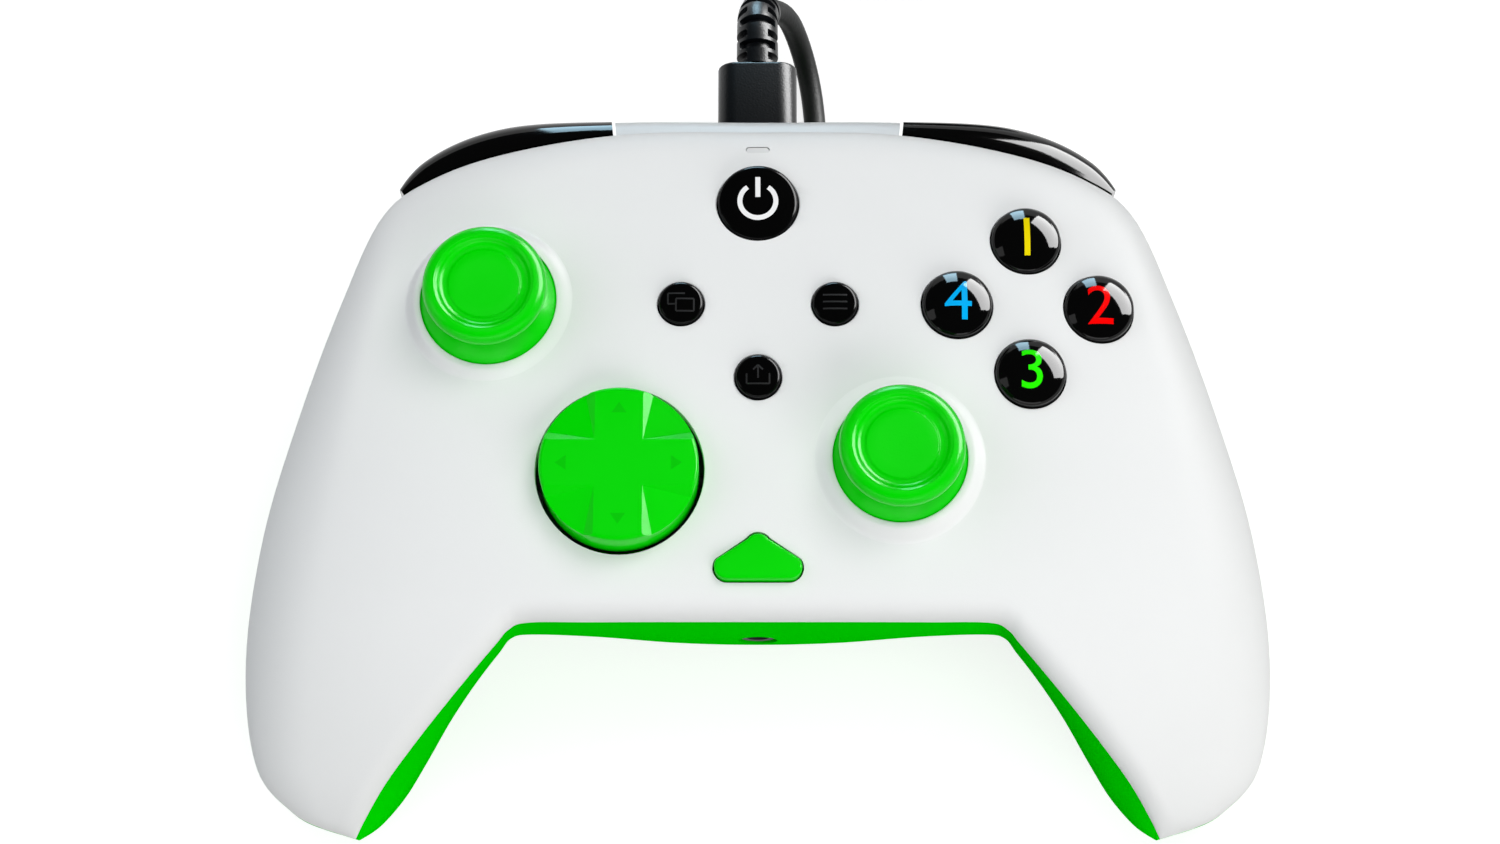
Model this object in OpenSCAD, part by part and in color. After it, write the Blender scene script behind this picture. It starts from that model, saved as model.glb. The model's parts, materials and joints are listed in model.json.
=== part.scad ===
// Gamepad controller lying face up, with its cable plugged in.
// +X is the player's right, +Y points away from the player, +Z is up.
// The origin is the middle of the flat pad that the back shell rests on.

/* [Body] */
// Width over the grips
body_w = 154; // [150:1:158]
// From the origin to the front edge between the grips
front_edge = 32.7; // [32:0.1:34]
// From the origin to the rear edge of the front shell
rear_edge = 44.2; // [43.8:0.1:45]
// From the origin to the grip tips
grip_reach = 60.5; // [59:0.5:63]
// Distance between the corners where the grips leave the front edge
waist_w = 71; // [69:1:75]
// Distance between the grip tips
tip_w = 124; // [120:1:127]
// Height of the face at its crown
face_z = 44; // [43.5:0.5:46]
// Drop of the face from its crown to the front and rear edges
face_crown = 4; // [3.5:0.25:4.5]
// Extra drop of the face over the action buttons' outer side
face_side = 3; // [2.5:0.25:3.5]
// Height of the lip along the front edge and the inside of the grips
lip_h = 3; // [2.6:0.1:3.4]
// Thickness of both shells
wall = 2.2; // [1.8:0.1:2.4]
// Gap along the line where the shells meet
seam = 0.2; // [0.1:0.05:0.3]
// Height of the lower edge of the rear opening
rear_sill = 24; // [23:0.5:24.5]

/* [Board] */
// Height of the board's underside
board_z = 29; // [28.6:0.2:29.4]
// Thickness of the board
board_t = 1.6; // [1.2:0.2:1.8]
// Width of the board
board_w = 94; // [90:1:95]
// From the origin to the board's front edge
board_front = 17; // [16.5:0.5:18]
// From the origin to the board's rear edge
board_rear = 29; // [28:0.5:29.5]

/* [Sticks] */
// Diameter of a stick's cap
cap_d = 18.2; // [17:0.2:19]
// Thickness of a cap at its rim
cap_t = 2.9; // [2.4:0.1:3.2]
// Diameter of the opening that a stick's skirt shows in
stick_opening_d = 20.2; // [20:0.2:21]
// Outer diameter of the ring round that opening
stick_ring_d = 23; // [22.8:0.2:24]
// Height of a stick's pivot over the board
stick_pivot_h = 5.9; // [5.8:0.1:6.2]
// Height of a cap's underside over its pivot
cap_h = 12.2; // [12:0.1:13]
// Radial gap between a skirt and its ring
skirt_gap = 0.4; // [0.3:0.05:0.5]
// From the body's left side to the left stick
left_stick_inset = 37; // [36:0.5:38]
// From the origin to the left stick, rearward
left_stick_y = 14.6; // [14:0.1:16]
// From the middle to the right stick
right_stick_x = 20.7; // [20:0.1:22]
// From the origin to the right stick, rearward
right_stick_y = -9.9; // [-10.2:0.1:-8.5]

/* [Direction pad] */
// Diameter of the pad
dpad_d = 23.2; // [23:0.2:24.4]
// Radial gap round the pad
dpad_gap = 0.75; // [0.65:0.05:0.9]
// Height of the pad over the face
dpad_proud = 3.8; // [3.4:0.1:4.2]
// Width of the pad's raised arms
dpad_arm_w = 7; // [6.8:0.2:8]
// Depth of the hollows between the arms at the rim
dpad_hollow = 1.5; // [1.2:0.1:2]
// From the middle to the pad
dpad_x = -20.2; // [-21:0.1:-19.5]
// From the origin to the pad, rearward
dpad_y = -11.6; // [-12:0.1:-10.5]

/* [Buttons] */
// Diameter of an action button
action_d = 10.3; // [9.6:0.1:10.8]
// Height of an action button's side over the face
action_proud = 1.3; // [1:0.1:1.8]
// Height of the dome on an action button
action_dome = 1.5; // [1.2:0.1:1.8]
// From the middle of the action buttons to each of them
action_pitch = 10.6; // [10.4:0.1:11]
// From the body's right side to the middle of the action buttons
action_inset = 36.9; // [36.5:0.1:38]
// From the origin to the middle of the action buttons, rearward
action_y = 13.8; // [13.5:0.1:14.5]
// Diameter of the home button
home_d = 12; // [11:0.2:12.4]
// Height of the home button's side over the face
home_proud = 0.9; // [0.5:0.1:1]
// Height of the dome on the home button
home_dome = 0.4; // [0.3:0.1:0.8]
// From the origin to the home button, rearward
home_y = 30.5; // [30:0.1:31]
// Diameter of a small button
small_d = 6.6; // [6:0.1:7]
// Height of the dome on a small button
small_dome = 0.2; // [0.2:0.1:0.5]
// From the middle to the small buttons at the sides
small_x = 11.4; // [11:0.1:12]
// From the origin to the small buttons at the sides, rearward
small_y = 13.9; // [13.5:0.1:14.5]
// From the origin to the lower small button, rearward
share_y = 2.4; // [2.2:0.1:3]
// Height of the small buttons over the face
small_proud = 0.9; // [0.7:0.1:1.2]
// Width of the audio button
audio_w = 12.8; // [12:0.2:13.4]
// Length of the audio button
audio_l = 6.8; // [6.4:0.1:7]
// From the origin to the audio button's middle, rearward
audio_y = -24.3; // [-24.4:0.1:-24]
// Height of the audio button over the face
audio_proud = 0.9; // [0.6:0.1:1.1]
// Gap round every button
button_gap = 0.35; // [0.3:0.05:0.45]
// From the origin to the status light, rearward
light_y = 39.8; // [39.4:0.1:40]

/* [Bumpers and triggers] */
// How far the bridge stands out behind the front shell
bridge_bulge = 3; // [2.8:0.1:3.4]
// How far a bumper stands out behind the front shell
bumper_bulge = 5.6; // [5:0.1:6]
// Wall of the bridge and the bumpers
band_wall = 2; // [1.8:0.1:2.2]
// Half the width of the bridge
bridge_half = 21.6; // [21:0.1:22]
// Gap between a bumper and its neighbours
bumper_gap = 0.45; // [0.4:0.05:0.6]
// Inner side of a trigger, from the middle
trigger_in = 22.4; // [22.2:0.1:23]
// Width of a trigger
trigger_w = 26; // [25:0.5:26.5]
// Pivot of the triggers, from the origin rearward
trigger_y = 36.5; // [36.4:0.1:37]
// Pivot of the triggers, height
trigger_z = 29.5; // [29.2:0.1:29.8]
// Diameter of a trigger's pin
trigger_pin_d = 2.5; // [2:0.1:2.8]
// Radial running clearance of pins and axles
run_gap = 0.05; // [0.03:0.01:0.08]

/* [Sockets] */
// Diameter of the headset jack's bore
jack_d = 3.6; // [3.5:0.05:3.8]
// Depth of the headset jack's bore
jack_depth = 14; // [12:0.5:14.5]
// Height of the headset jack
jack_z = 24; // [23.5:0.1:24.2]

/* [Rumble motors] */
// Diameter of a motor
motor_d = 16; // [14:0.5:16.5]
// Length of a motor
motor_l = 11; // [10:0.5:11.5]
// From the body's side to a motor's outer end
motor_inset = 15; // [14.5:0.5:16]
// From the origin to the motors, rearward
motor_y = -30; // [-31:0.5:-29]
// Height of the motors
motor_z = 15.5; // [15:0.5:16]

/* [Cable] */
// Diameter of the cord
cord_d = 3.6; // [3.4:0.1:3.8]
// Width of the plug at the controller
plug_w = 12.4; // [11.5:0.1:12.6]
// Height of the plug at the controller
plug_h = 6.6; // [6.2:0.1:7]
// Mean diameter of the coil's turns
coil_d = 43.2; // [43:0.1:44]
// Spacing of the turns, side by side and layer on layer
coil_pitch = 4.1; // [4.05:0.05:4.3]
// Thickness of the tie round the coil
tie_t = 0.8; // [0.6:0.1:1]

/* [Hidden] */
$fn = 48;

white = [0.90, 0.91, 0.91];
green = [0.02, 0.80, 0.03];
black = [0.03, 0.03, 0.03];
grey = [0.82, 0.83, 0.84];
steel = [0.70, 0.70, 0.72];
amber = [0.80, 0.62, 0.25];
board_green = [0.05, 0.30, 0.14];
rubber = [0.16, 0.17, 0.18];

board_top = board_z + board_t;
left_stick = [left_stick_inset - body_w / 2, left_stick_y];
right_stick = [right_stick_x, right_stick_y];
action_x = body_w / 2 - action_inset;
stick_pivot_z = board_top + stick_pivot_h;
mat_t = 1;
mat_rim_h = 2.5;
mat_rim_t = 1.5;
mat_rim_gap = 0.4;
mat_floor = 0.3;
mat_rim_top = board_top + mat_t + mat_rim_h;
key_rest_gap = 0.2;
flange_t = 1.2;
flange_extra = 0.85;

// Ribs from the middle of the body to a grip's tip. Each value is a rib's share along the front
// edge, along the grip and out to its tip, of the half width and of the length from the rear.
waist_share = [0, 0.36, 0.70, 0.95, 1, 1, 1, 1, 1, 1, 1, 1];
grip_share = [0, 0, 0, 0, 0.035, 0.10, 0.22, 0.38, 0.56, 0.75, 0.91, 1];
grip_x_share = [0, 0, 0, 0, 0.035, 0.10, 0.22, 0.38, 0.56, 0.745, 0.875, 0.94];
outer_x_share = [0, 0.26, 0.494, 0.65, 0.747, 0.825, 0.903, 0.968, 1, 0.981, 0.91, 0.85];
outer_y_share = [0, 0.003, 0.031, 0.069, 0.121, 0.25, 0.417, 0.584, 0.765, 0.9, 0.962, 0.985];
// Drop of the front shell at its outer edge, and how far in the rounding reaches
edge_drop = [2.6, 2.6, 3, 3.6, 4.7, 6.8, 7.3, 7, 6, 4, 3, 3];
edge_reach = [5, 5, 6, 8, 10, 12, 14, 14, 12, 9, 5, 1.8];
// Bulge of the back shell inside the grips, its floor, and how square its sides are
lower_bulge = [0.1, 0.1, 0.5, 0.7, 0.1, 0.2, 0.55, 1.45, 2.5, 3.5, 2.9, 1];
floor_z = [-1, -1, -1, -1, -1, -1, -1, -1, -0.5, 2, 6.5, 10.5];
inner_power = [0.6, 0.65, 0.85, 0.95, 1, 1, 1, 1, 0.95, 0.95, 1, 1];
outer_power = [1.6, 1.6, 1.6, 1.5, 1.2, 1, 0.9, 0.85, 0.85, 0.9, 1, 1];
// Share of the way down to the sill that the rear edge of the back shell takes
sill_share = [1, 1, 1, 0.9, 0.35, 0, 0, 0, 0, 0, 0, 0];
last_rib = len(grip_share) - 1;
tip_ribs = 2;
inner_tip = last_rib - 0.8;
stations = 44;
front_cols = 14;
back_cols = 18;

function mix(a, b, t) = a + (b - a) * t;
function clamp01(t) = max(0, min(1, t));
function smooth(t) = let(u = clamp01(t)) u * u * (3 - 2 * u);
function flat(rows) = [for (row = rows) each row];
function unit(v) = v / norm(v);

// Smooth curve through a list of points or values, with the point before the first given
function curve(p0, p1, p2, p3, t) =
    0.5 * (2 * p1 + (p2 - p0) * t + (2 * p0 - 5 * p1 + 4 * p2 - p3) * t * t
        + (3 * p1 - p0 - 3 * p2 + p3) * t * t * t);
function rib_value(list, s, side = 1) =
    let(
        a = min(abs(s), last_rib),
        k = min(floor(a), last_rib - 1),
        before = k == 0 ? side * list[1] : list[k - 1],
        after = list[min(k + 2, last_rib)]
    )
    curve(before, list[k], list[k + 1], after, a - k);

// Closed outline through a few points, with steps points on each stretch
function closed_curve(points, steps) = let(n = len(points)) [
    for (i = [0 : n - 1], j = [0 : steps - 1])
        curve(points[(i + n - 1) % n], points[i], points[(i + 1) % n], points[(i + 2) % n], j / steps)];

function arc_points(c, r, from, to, steps) =
    [for (i = [0 : steps]) c + r * [cos(mix(from, to, i / steps)), sin(mix(from, to, i / steps))]];
function rounded_box(w, h, r) = flat([
    for (q = [[1, 1, 0], [-1, 1, 90], [-1, -1, 180], [1, -1, 270]])
        arc_points([q[0] * (w / 2 - r), q[1] * (h / 2 - r)], r, q[2], q[2] + 90, 5)]);

// Height of the face before its edges are rounded
crown_y = (rear_edge - front_edge) / 2;
crown_half = (rear_edge + front_edge) / 2;
side_inset = 22;
side_ref = body_w / 2 - side_inset;
droop_from = 25;
droop = 0.009;
function face(x, y) =
    face_z - face_crown * pow((y - crown_y) / crown_half, 2) - face_side * pow(abs(x) / side_ref, 4)
        - droop * pow(max(0, -y - droop_from), 2);
function face_at(p) = face(p[0], p[1]);

// Plan of a rib's inner and outer ends, and the height of the parting line there
function inner_at(s) = let(
        g = rib_value(grip_share, s),
        x = mix(waist_w / 2 * rib_value(waist_share, s, -1), tip_w / 2, rib_value(grip_x_share, s))
    ) [sign(s) * x, -mix(front_edge, grip_reach, g)];
function outer_at(s) = [
    sign(s) * body_w / 2 * rib_value(outer_x_share, s, -1),
    rear_edge - rib_value(outer_y_share, s) * (rear_edge + grip_reach)];
function parting_in(s) = face_at(inner_at(s)) - lip_h;
function parting_out(s) = face_at(outer_at(s)) - rib_value(edge_drop, s);
function sill_at(s) =
    mix(parting_out(s) - seam, rear_sill, rib_value(sill_share, s));
function edge_fall(u) = u >= 1 ? 0 : 1 - sqrt(1 - pow(1 - max(u, 0), 2));
function tip_close(s, tip) = sqrt(1 - pow(1 - min(1, (tip - abs(s)) / tip_ribs), 2));

// A point of the front shell: w runs from the inner edge to the outer one
function front_point(s, w, inset, tip) =
    let(
        a = inner_at(s), b = outer_at(s), long = norm(b - a), way = (b - a) / long,
        run = long - 2 * inset,
        p = a + way * (inset + w * run),
        low = mix(parting_in(s), parting_out(s), w),
        in_fall = (face_at(a) - parting_in(s) - inset) * edge_fall(w * run / lip_h),
        out_fall = (face_at(b) - parting_out(s) - inset)
            * edge_fall((1 - w) * run / rib_value(edge_reach, s)),
        high = face_at(p) - inset - in_fall - out_fall
    )
    [p[0], p[1], mix(low, max(low, high), tip_close(s, tip))];

// A point of the back shell: q runs from the inner edge, under the body, to the outer one
function back_point(s, q, inset, tip) =
    let(
        a = inner_at(s), b = outer_at(s), long = norm(b - a), way = (b - a) / long,
        half = long / 2,
        inside = q < 0.5,
        turn = 90 * pow(inside ? 2 * q : 2 - 2 * q, 1.4),
        power = rib_value(inside ? inner_power : outer_power, s),
        out = (half - inset) * pow(cos(turn), power)
            + (inside ? rib_value(lower_bulge, s) * sin(2 * turn) : 0),
        top = inside ? parting_in(s) - seam : sill_at(s),
        base = rib_value(floor_z, s) + inset,
        deep = max(inset, mix(top, base, pow(sin(turn), power))),
        p = a + way * (half + (inside ? -out : out)),
        low = mix(parting_in(s) - seam, sill_at(s), clamp01((half + (inside ? -out : out)) / long))
    )
    [p[0], p[1], mix(low, deep, tip_close(s, tip))];

function station(i, tip) = tip * (2 * i / stations - 1);
function spread(j, n) = (1 - cos(180 * j / n)) / 2;
function front_grid(inset, tip) = [for (i = [0 : stations]) [for (j = [0 : front_cols])
    front_point(station(i, tip), spread(j, front_cols), inset, tip)]];
function back_grid(inset, tip) = [for (i = [0 : stations]) [for (j = [0 : back_cols])
    back_point(station(i, tip), j / back_cols, inset, tip)]];

// Two grids of points joined along their edges into one closed wall
function quad(a, b, c, d) = [[a, b, c], [a, c, d]];
module skin(outer, inner, faces_up) {
    rows = len(outer) - 1;
    cols = len(outer[0]) - 1;
    size = (rows + 1) * (cols + 1);
    function at(i, j) = i * (cols + 1) + j;
    function over(i, j) = size + at(i, j);
    faces = flat(concat(
        [for (i = [0 : rows - 1], j = [0 : cols - 1])
            quad(at(i, j), at(i, j + 1), at(i + 1, j + 1), at(i + 1, j))],
        [for (i = [0 : rows - 1], j = [0 : cols - 1])
            quad(over(i, j), over(i + 1, j), over(i + 1, j + 1), over(i, j + 1))],
        [for (i = [0 : rows - 1]) quad(at(i, 0), at(i + 1, 0), over(i + 1, 0), over(i, 0))],
        [for (i = [0 : rows - 1]) quad(at(i + 1, cols), at(i, cols), over(i, cols), over(i + 1, cols))],
        [for (j = [0 : cols - 1]) quad(at(0, j + 1), at(0, j), over(0, j), over(0, j + 1))],
        [for (j = [0 : cols - 1]) quad(at(rows, j), at(rows, j + 1), over(rows, j + 1), over(rows, j))]
    ));
    polyhedron(concat(flat(outer), flat(inner)), faces_up ? faces : [for (f = faces) [f[2], f[1], f[0]]]);
}

// A tube through rings of points, closed at both ends
module rings_solid(rings) {
    n = len(rings[0]);
    last = len(rings) - 1;
    function at(i, j) = i * n + j % n;
    faces = concat(
        flat([for (i = [0 : last - 1], j = [0 : n - 1])
            quad(at(i, j), at(i + 1, j), at(i + 1, j + 1), at(i, j + 1))]),
        flat([for (j = [0 : n / 2 - 2]) quad(at(0, j), at(0, j + 1), at(0, n - 2 - j), at(0, n - 1 - j))]),
        flat([for (j = [0 : n / 2 - 2])
            quad(at(last, n - 1 - j), at(last, n - 2 - j), at(last, j + 1), at(last, j))])
    );
    polyhedron(flat(rings), faces);
}

// Direction of a path at one of its points
function heading(path, i) = unit(path[min(i + 1, len(path) - 1)] - path[max(i - 1, 0)]);
function level_side(way) = unit(cross([0, 0, 1], way));
function upright_side(way) = unit([1, 0, 0] - way[0] * way);
function ring(c, r, way, side, sides) =
    let(up = cross(way, side))
    [for (j = [0 : sides - 1]) c + r * (cos(360 * j / sides) * side + sin(360 * j / sides) * up)];

// Screw bosses that join the shells: place, height at which the two posts meet, and how far
// under the face the upper one ends
boss_r = 3;
screw_r = 1.25;
screw_gap = 0.05;
screw_head_r = 2.3;
screw_head_t = 1.5;
screw_grip = 8;
boss_floor = 2.6;
boss_sink = 0.8 * wall;
side_boss = [body_w / 2 - 19, -2, 22, boss_sink];
grip_boss = [body_w / 2 - 15.5, -44.5, 13, 2.4 * boss_sink];
front_boss = [waist_w / 2, -21, 20, boss_sink];
bosses = [for (b = [side_boss, grip_boss, front_boss], m = [-1, 1]) [m * b[0], b[1], b[2], b[3]]];

// Posts under the board, with a screw in each
front_post = [34, -13];
rear_post = [action_x - 13.1, 25];
board_posts = [for (p = [front_post, rear_post], m = [-1, 1]) [m * p[0], p[1]]];
board_post_r = 2.6;
board_screw_r = 1;
board_screw_l = 6;
board_screw_head = 1.2;
board_hole_gap = 0.2;

// Rail of the inner frame and its seats
rail_y = 30.5;
rail_t = 3;
rail_z = 21;
rail_end_z = 24;
rail_end_step = 3.5;
rail_top = board_z - 0.4;
rail_post_x = 13;
rail_post_r = 1.6;

// Bay in the back shell that a trigger swings in
bay_side_gap = 0.8;
bay_front = rail_y + rail_t + 0.3;

usb_z = board_z - 1.6;
usb_w = 9.2;
usb_h = 3.2;
usb_l = 8;
usb_rear = rear_edge + 0.2;
plug_fit = 0.4;
plug_front = usb_rear + 0.6;
relief_start = 59.6;
plug_corner_r = 3;
jack_body = [9, 13, 2 * (board_z - jack_z)];
jack_wall_gap = 1.4;
jack_front = front_edge - wall - jack_wall_gap;
jack_nose_r = 2.7;
jack_nose_gap = 0.2;
jack_nose_y = front_edge - 0.8;

module front_shell() {
    color(white)
    difference() {
        union() {
            skin(front_grid(0, last_rib), front_grid(wall, inner_tip), true);
            for (b = bosses)
                translate([b[0], b[1], b[2] + seam])
                    cylinder(r = boss_r, h = face_at(b) - b[3] - b[2] - seam);
            dpad_bearings();
        }
        for (b = bosses)
            translate([b[0], b[1], b[2]]) cylinder(r = screw_r + screw_gap, h = screw_grip + 1);
        for (p = [left_stick, right_stick]) stick_opening(p);
        translate([dpad_x, dpad_y, gimbal_z + gimbal_t]) cylinder(r = dpad_d / 2 + dpad_gap, h = face_z);
        for (i = [0 : 3]) button_hole(action_place(i), action_d);
        button_hole([0, home_y], home_d);
        for (p = small_places) button_hole(p, small_d);
        translate([0, 0, board_top]) linear_extrude(face_z) audio_outline(button_gap);
        translate([0, light_y, board_top + pipe_foot_h + 1])
            linear_extrude(face_z)
                polygon(rounded_box(pipe_w + 2 * pipe_gap, pipe_l + 2 * pipe_gap, pipe_l / 2));
    }
}

module button_hole(p, d) {
    translate([p[0], p[1], board_top + 4]) cylinder(r = d / 2 + button_gap, h = face_z);
}

module back_shell() {
    solid = back_grid(0, last_rib);
    color(green)
    difference() {
        union() {
            skin(solid, back_grid(wall, inner_tip), false);
            intersection() {
                skin(solid, lid_grid(), false);
                back_posts();
            }
        }
        for (b = bosses) {
            translate([b[0], b[1], -1]) cylinder(r = screw_r + 0.15, h = b[2] + 2);
            translate([b[0], b[1], -1]) cylinder(r = screw_head_r + 0.3, h = b[2] - boss_floor + 1);
        }
        for (p = board_posts)
            translate([p[0], p[1], board_z - board_screw_l])
                cylinder(r = board_screw_r + screw_gap, h = board_screw_l + 1);
        for (m = [-1, 1])
            translate([m * (trigger_in + trigger_w / 2), bay_front, -1])
                translate([-trigger_w / 2 - bay_side_gap, 0, 0])
                    cube([trigger_w + 2 * bay_side_gap, rear_edge, face_z]);
        translate([0, -jack_front, jack_z]) rotate([90, 0, 0])
            cylinder(r = jack_nose_r + jack_nose_gap, h = 2 * wall + 3);
        motor_hollows();
    }
}

// Lid over the back shell's inside, which trims its posts to the outer form
function lid_grid() = [for (i = [0 : stations]) [for (j = [0 : back_cols])
    let(s = station(i, last_rib), t = j / back_cols, p = mix(inner_at(s), outer_at(s), t))
        [p[0], p[1], mix(parting_in(s), sill_at(s), t) - 0.5 + 0.5 * pow(2 * t - 1, 2)]]];

module back_posts() {
    for (b = bosses) translate([b[0], b[1], 0]) cylinder(r = screw_head_r + 1.4, h = b[2]);
    for (p = board_posts) translate([p[0], p[1], 0]) cylinder(r = board_post_r, h = board_z);
    for (m = [-1, 1]) {
        translate([m * rail_post_x, rail_y + rail_t / 2, 0]) cylinder(r = rail_post_r, h = rail_z);
        translate([m * (motor_x + motor_l / 2) - motor_saddle_w / 2, motor_y - motor_d / 2, 0])
            cube([motor_saddle_w, motor_d, motor_z - motor_d / 4]);
    }
}

motor_x = body_w / 2 - motor_inset - motor_l;
motor_saddle_w = 6;
motor_seat_gap = 0.1;
motor_shaft_r = 1;
motor_shaft_l = 8.2;
weight_r = 6.6;
weight_t = 5;
weight_gap = 1.4;

module motor_hollows() {
    for (m = [-1, 1])
        translate([m * (motor_x + motor_l / 2), motor_y, motor_z])
            rotate([0, 90, 0]) cylinder(r = motor_d / 2 + motor_seat_gap, h = motor_l + 2, center = true);
}

// Band behind the front shell: the share of its bulge at each share of its height
band_shape = [[0, 0], [0.05, 0.42], [0.14, 0.74], [0.3, 0.96], [0.55, 1], [0.8, 0.92], [1, 0.74]];
band_top_gap = 0.4;
first_run = body_w / 2 * (outer_x_share[2] - outer_x_share[1]);
bridge_end = 1 + (bridge_half - body_w / 2 * outer_x_share[1]) / first_run;
bumper_start = bridge_end + bumper_gap / first_run;
bumper_end = 3.5;
bumper_arm_rib = 2.4;
bumper_lift = 1.9;
// How far the band stands out at the first ribs
band_bulge = [bridge_bulge, bridge_bulge + 0.4, bumper_bulge, 0.73 * bumper_bulge, -0.8, 0];
function out_way(s) = let(t = unit(outer_at(s + 0.05) - outer_at(s - 0.05))) [-t[1], t[0]];
function band_ring(s, low) =
    let(
        bulge = rib_value(band_bulge, s),
        top = parting_out(s) + 0.2,
        away = out_way(s),
        edge = outer_at(s),
        outside = [for (b = band_shape) [band_top_gap + bulge * b[1], mix(top, low, b[0])]],
        inside = [for (b = band_shape)
            [max(band_top_gap, band_top_gap + bulge * b[1]) - band_wall * (0.25 + 0.75 * smooth(b[0] * 4)),
                mix(top - band_wall, low, b[0])]]
    )
    [for (q = concat(inside, [for (i = [len(outside) - 1 : -1 : 0]) outside[i]]))
        [edge[0] + away[0] * q[0], edge[1] + away[1] * q[0], q[1]]];

module rear_bridge() {
    steps = 10;
    color(grey)
    difference() {
        rings_solid([for (i = [0 : steps]) let(s = mix(-bridge_end, bridge_end, i / steps))
            band_ring(s, sill_at(s) + seam)]);
        translate([-plug_w / 2 - plug_fit, rear_edge - 4, usb_z - plug_h / 2 - plug_fit])
            cube([plug_w + 2 * plug_fit, 4 * bumper_bulge, plug_h + 2 * plug_fit]);
    }
}

// Pivot of a bumper beside the bridge, and the arm that works its switch
bumper_hub = [23.2, 33];
bumper_hub_r = 2.3;
hub_web_w = 2.6;
hub_web_half = 1.5;
hub_web_gap = 0.9;
bumper_pin_r = 1.2;
bumper_pin_l = 7;
bumper_post_rear = 36;
switch_w = 5;
switch_side_gap = 0.8;
switch_deep = 2.6;
bumper_arm_w = 3;
bumper_arm_z = 33.2;
bumper_arm_t = 2;

module right_bumper() {
    steps = 14;
    hub_y = bumper_post_rear + 0.4;
    arm_y = rail_y + 0.6;
    color(black)
    difference() {
        union() {
            rings_solid([for (i = [0 : steps]) let(s = mix(bumper_start, bumper_end, i / steps))
                band_ring(s, sill_at(s) + bumper_lift)]);
            translate([bumper_hub[0], hub_y, bumper_hub[1]]) rotate([-90, 0, 0])
                cylinder(r = bumper_hub_r, h = rear_edge + band_top_gap - hub_y);
            translate([bridge_half + hub_web_gap, rear_edge - 1, bumper_hub[1] - hub_web_half])
                cube([hub_web_w, bridge_bulge + 1 - band_wall / 2, 2 * hub_web_half]);
            translate([bumper_arm_x - bumper_arm_w / 2, arm_y, bumper_arm_z])
                cube([bumper_arm_w, outer_at(bumper_arm_rib)[1] + bumper_bulge / 2 - arm_y, bumper_arm_t]);
        }
        translate([bumper_hub[0], hub_y - 1, bumper_hub[1]]) rotate([-90, 0, 0])
            cylinder(r = bumper_pin_r + run_gap, h = bumper_pin_l + 0.4);
    }
}
module left_bumper() { mirror([1, 0, 0]) right_bumper(); }

// Trigger: blade outline and arm outline, from its pivot
trigger_blade = [
    [8.4, -4.9], [10.2, -7.6], [11.5, -11.2], [13.3, -14.6], [15.6, -16.9], [17.2, -18],
    [16.9, -19.4], [13.6, -19.4], [9.6, -17.8], [5.4, -14.6], [2, -10.6], [0.8, -7], [3.6, -5]];
trigger_arm = [[-2.2, -1.4], [-0.5, 2.4], [1.6, 1.6], [4.6, -4.8], [8, -7.4], [6, -9.5], [1.2, -7]];
trigger_hub_r = 2.6;
trigger_arm_in = 11.6;
ear_t = 1.6;
ear_in = 4.2;
ear_gap = 0.4;
ear_side = 2;
trigger_arm_w = trigger_w - trigger_arm_in - ear_gap - ear_t - ear_side;
ear_out = trigger_arm_in + trigger_arm_w + ear_gap;
rail_end = trigger_in + ear_out + ear_t;
rail_half = rail_end - rail_end_step;
bumper_arm_x = trigger_in + ear_out - switch_w / 2 - switch_side_gap;
ear_r = 2.9;

module right_trigger() {
    color(black)
    difference() {
        translate([trigger_in, trigger_y, trigger_z]) rotate([90, 0, 90]) {
            linear_extrude(trigger_w) polygon(closed_curve(trigger_blade, 4));
            translate([0, 0, trigger_arm_in]) linear_extrude(trigger_arm_w) polygon(trigger_arm);
            translate([0, 0, trigger_arm_in]) cylinder(r = trigger_hub_r, h = trigger_arm_w);
        }
        translate([trigger_in, trigger_y, trigger_z]) rotate([0, 90, 0])
            cylinder(r = trigger_pin_d / 2 + run_gap, h = trigger_w + 2);
    }
}
module left_trigger() { mirror([1, 0, 0]) right_trigger(); }

module right_trigger_pin() {
    color(steel)
    translate([trigger_in + ear_in, trigger_y, trigger_z]) rotate([0, 90, 0])
        cylinder(r = trigger_pin_d / 2, h = ear_out + ear_t - ear_in);
}
module left_trigger_pin() { mirror([1, 0, 0]) right_trigger_pin(); }

// Return spring wound round a trigger's pin, with straight ends against ear and arm
spring_wire_r = 0.35;
spring_turns = 4;
spring_ring_steps = 8;
module right_trigger_spring() {
    start = trigger_in + ear_in + ear_t + 0.6;
    long = trigger_arm_in - ear_in - ear_t - 1.2;
    r = trigger_pin_d / 2 + 0.35 + spring_wire_r;
    n = spring_turns * spring_ring_steps;
    path = [for (i = [0 : n]) let(a = 360 * i / spring_ring_steps)
        [start + long * i / n, trigger_y + r * cos(a), trigger_z + r * sin(a)]];
    color(steel)
    rings_solid([for (i = [0 : n]) let(way = heading(path, i))
        ring(path[i], spring_wire_r, way, upright_side(way), 6)]);
}
module left_trigger_spring() { mirror([1, 0, 0]) right_trigger_spring(); }

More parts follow.
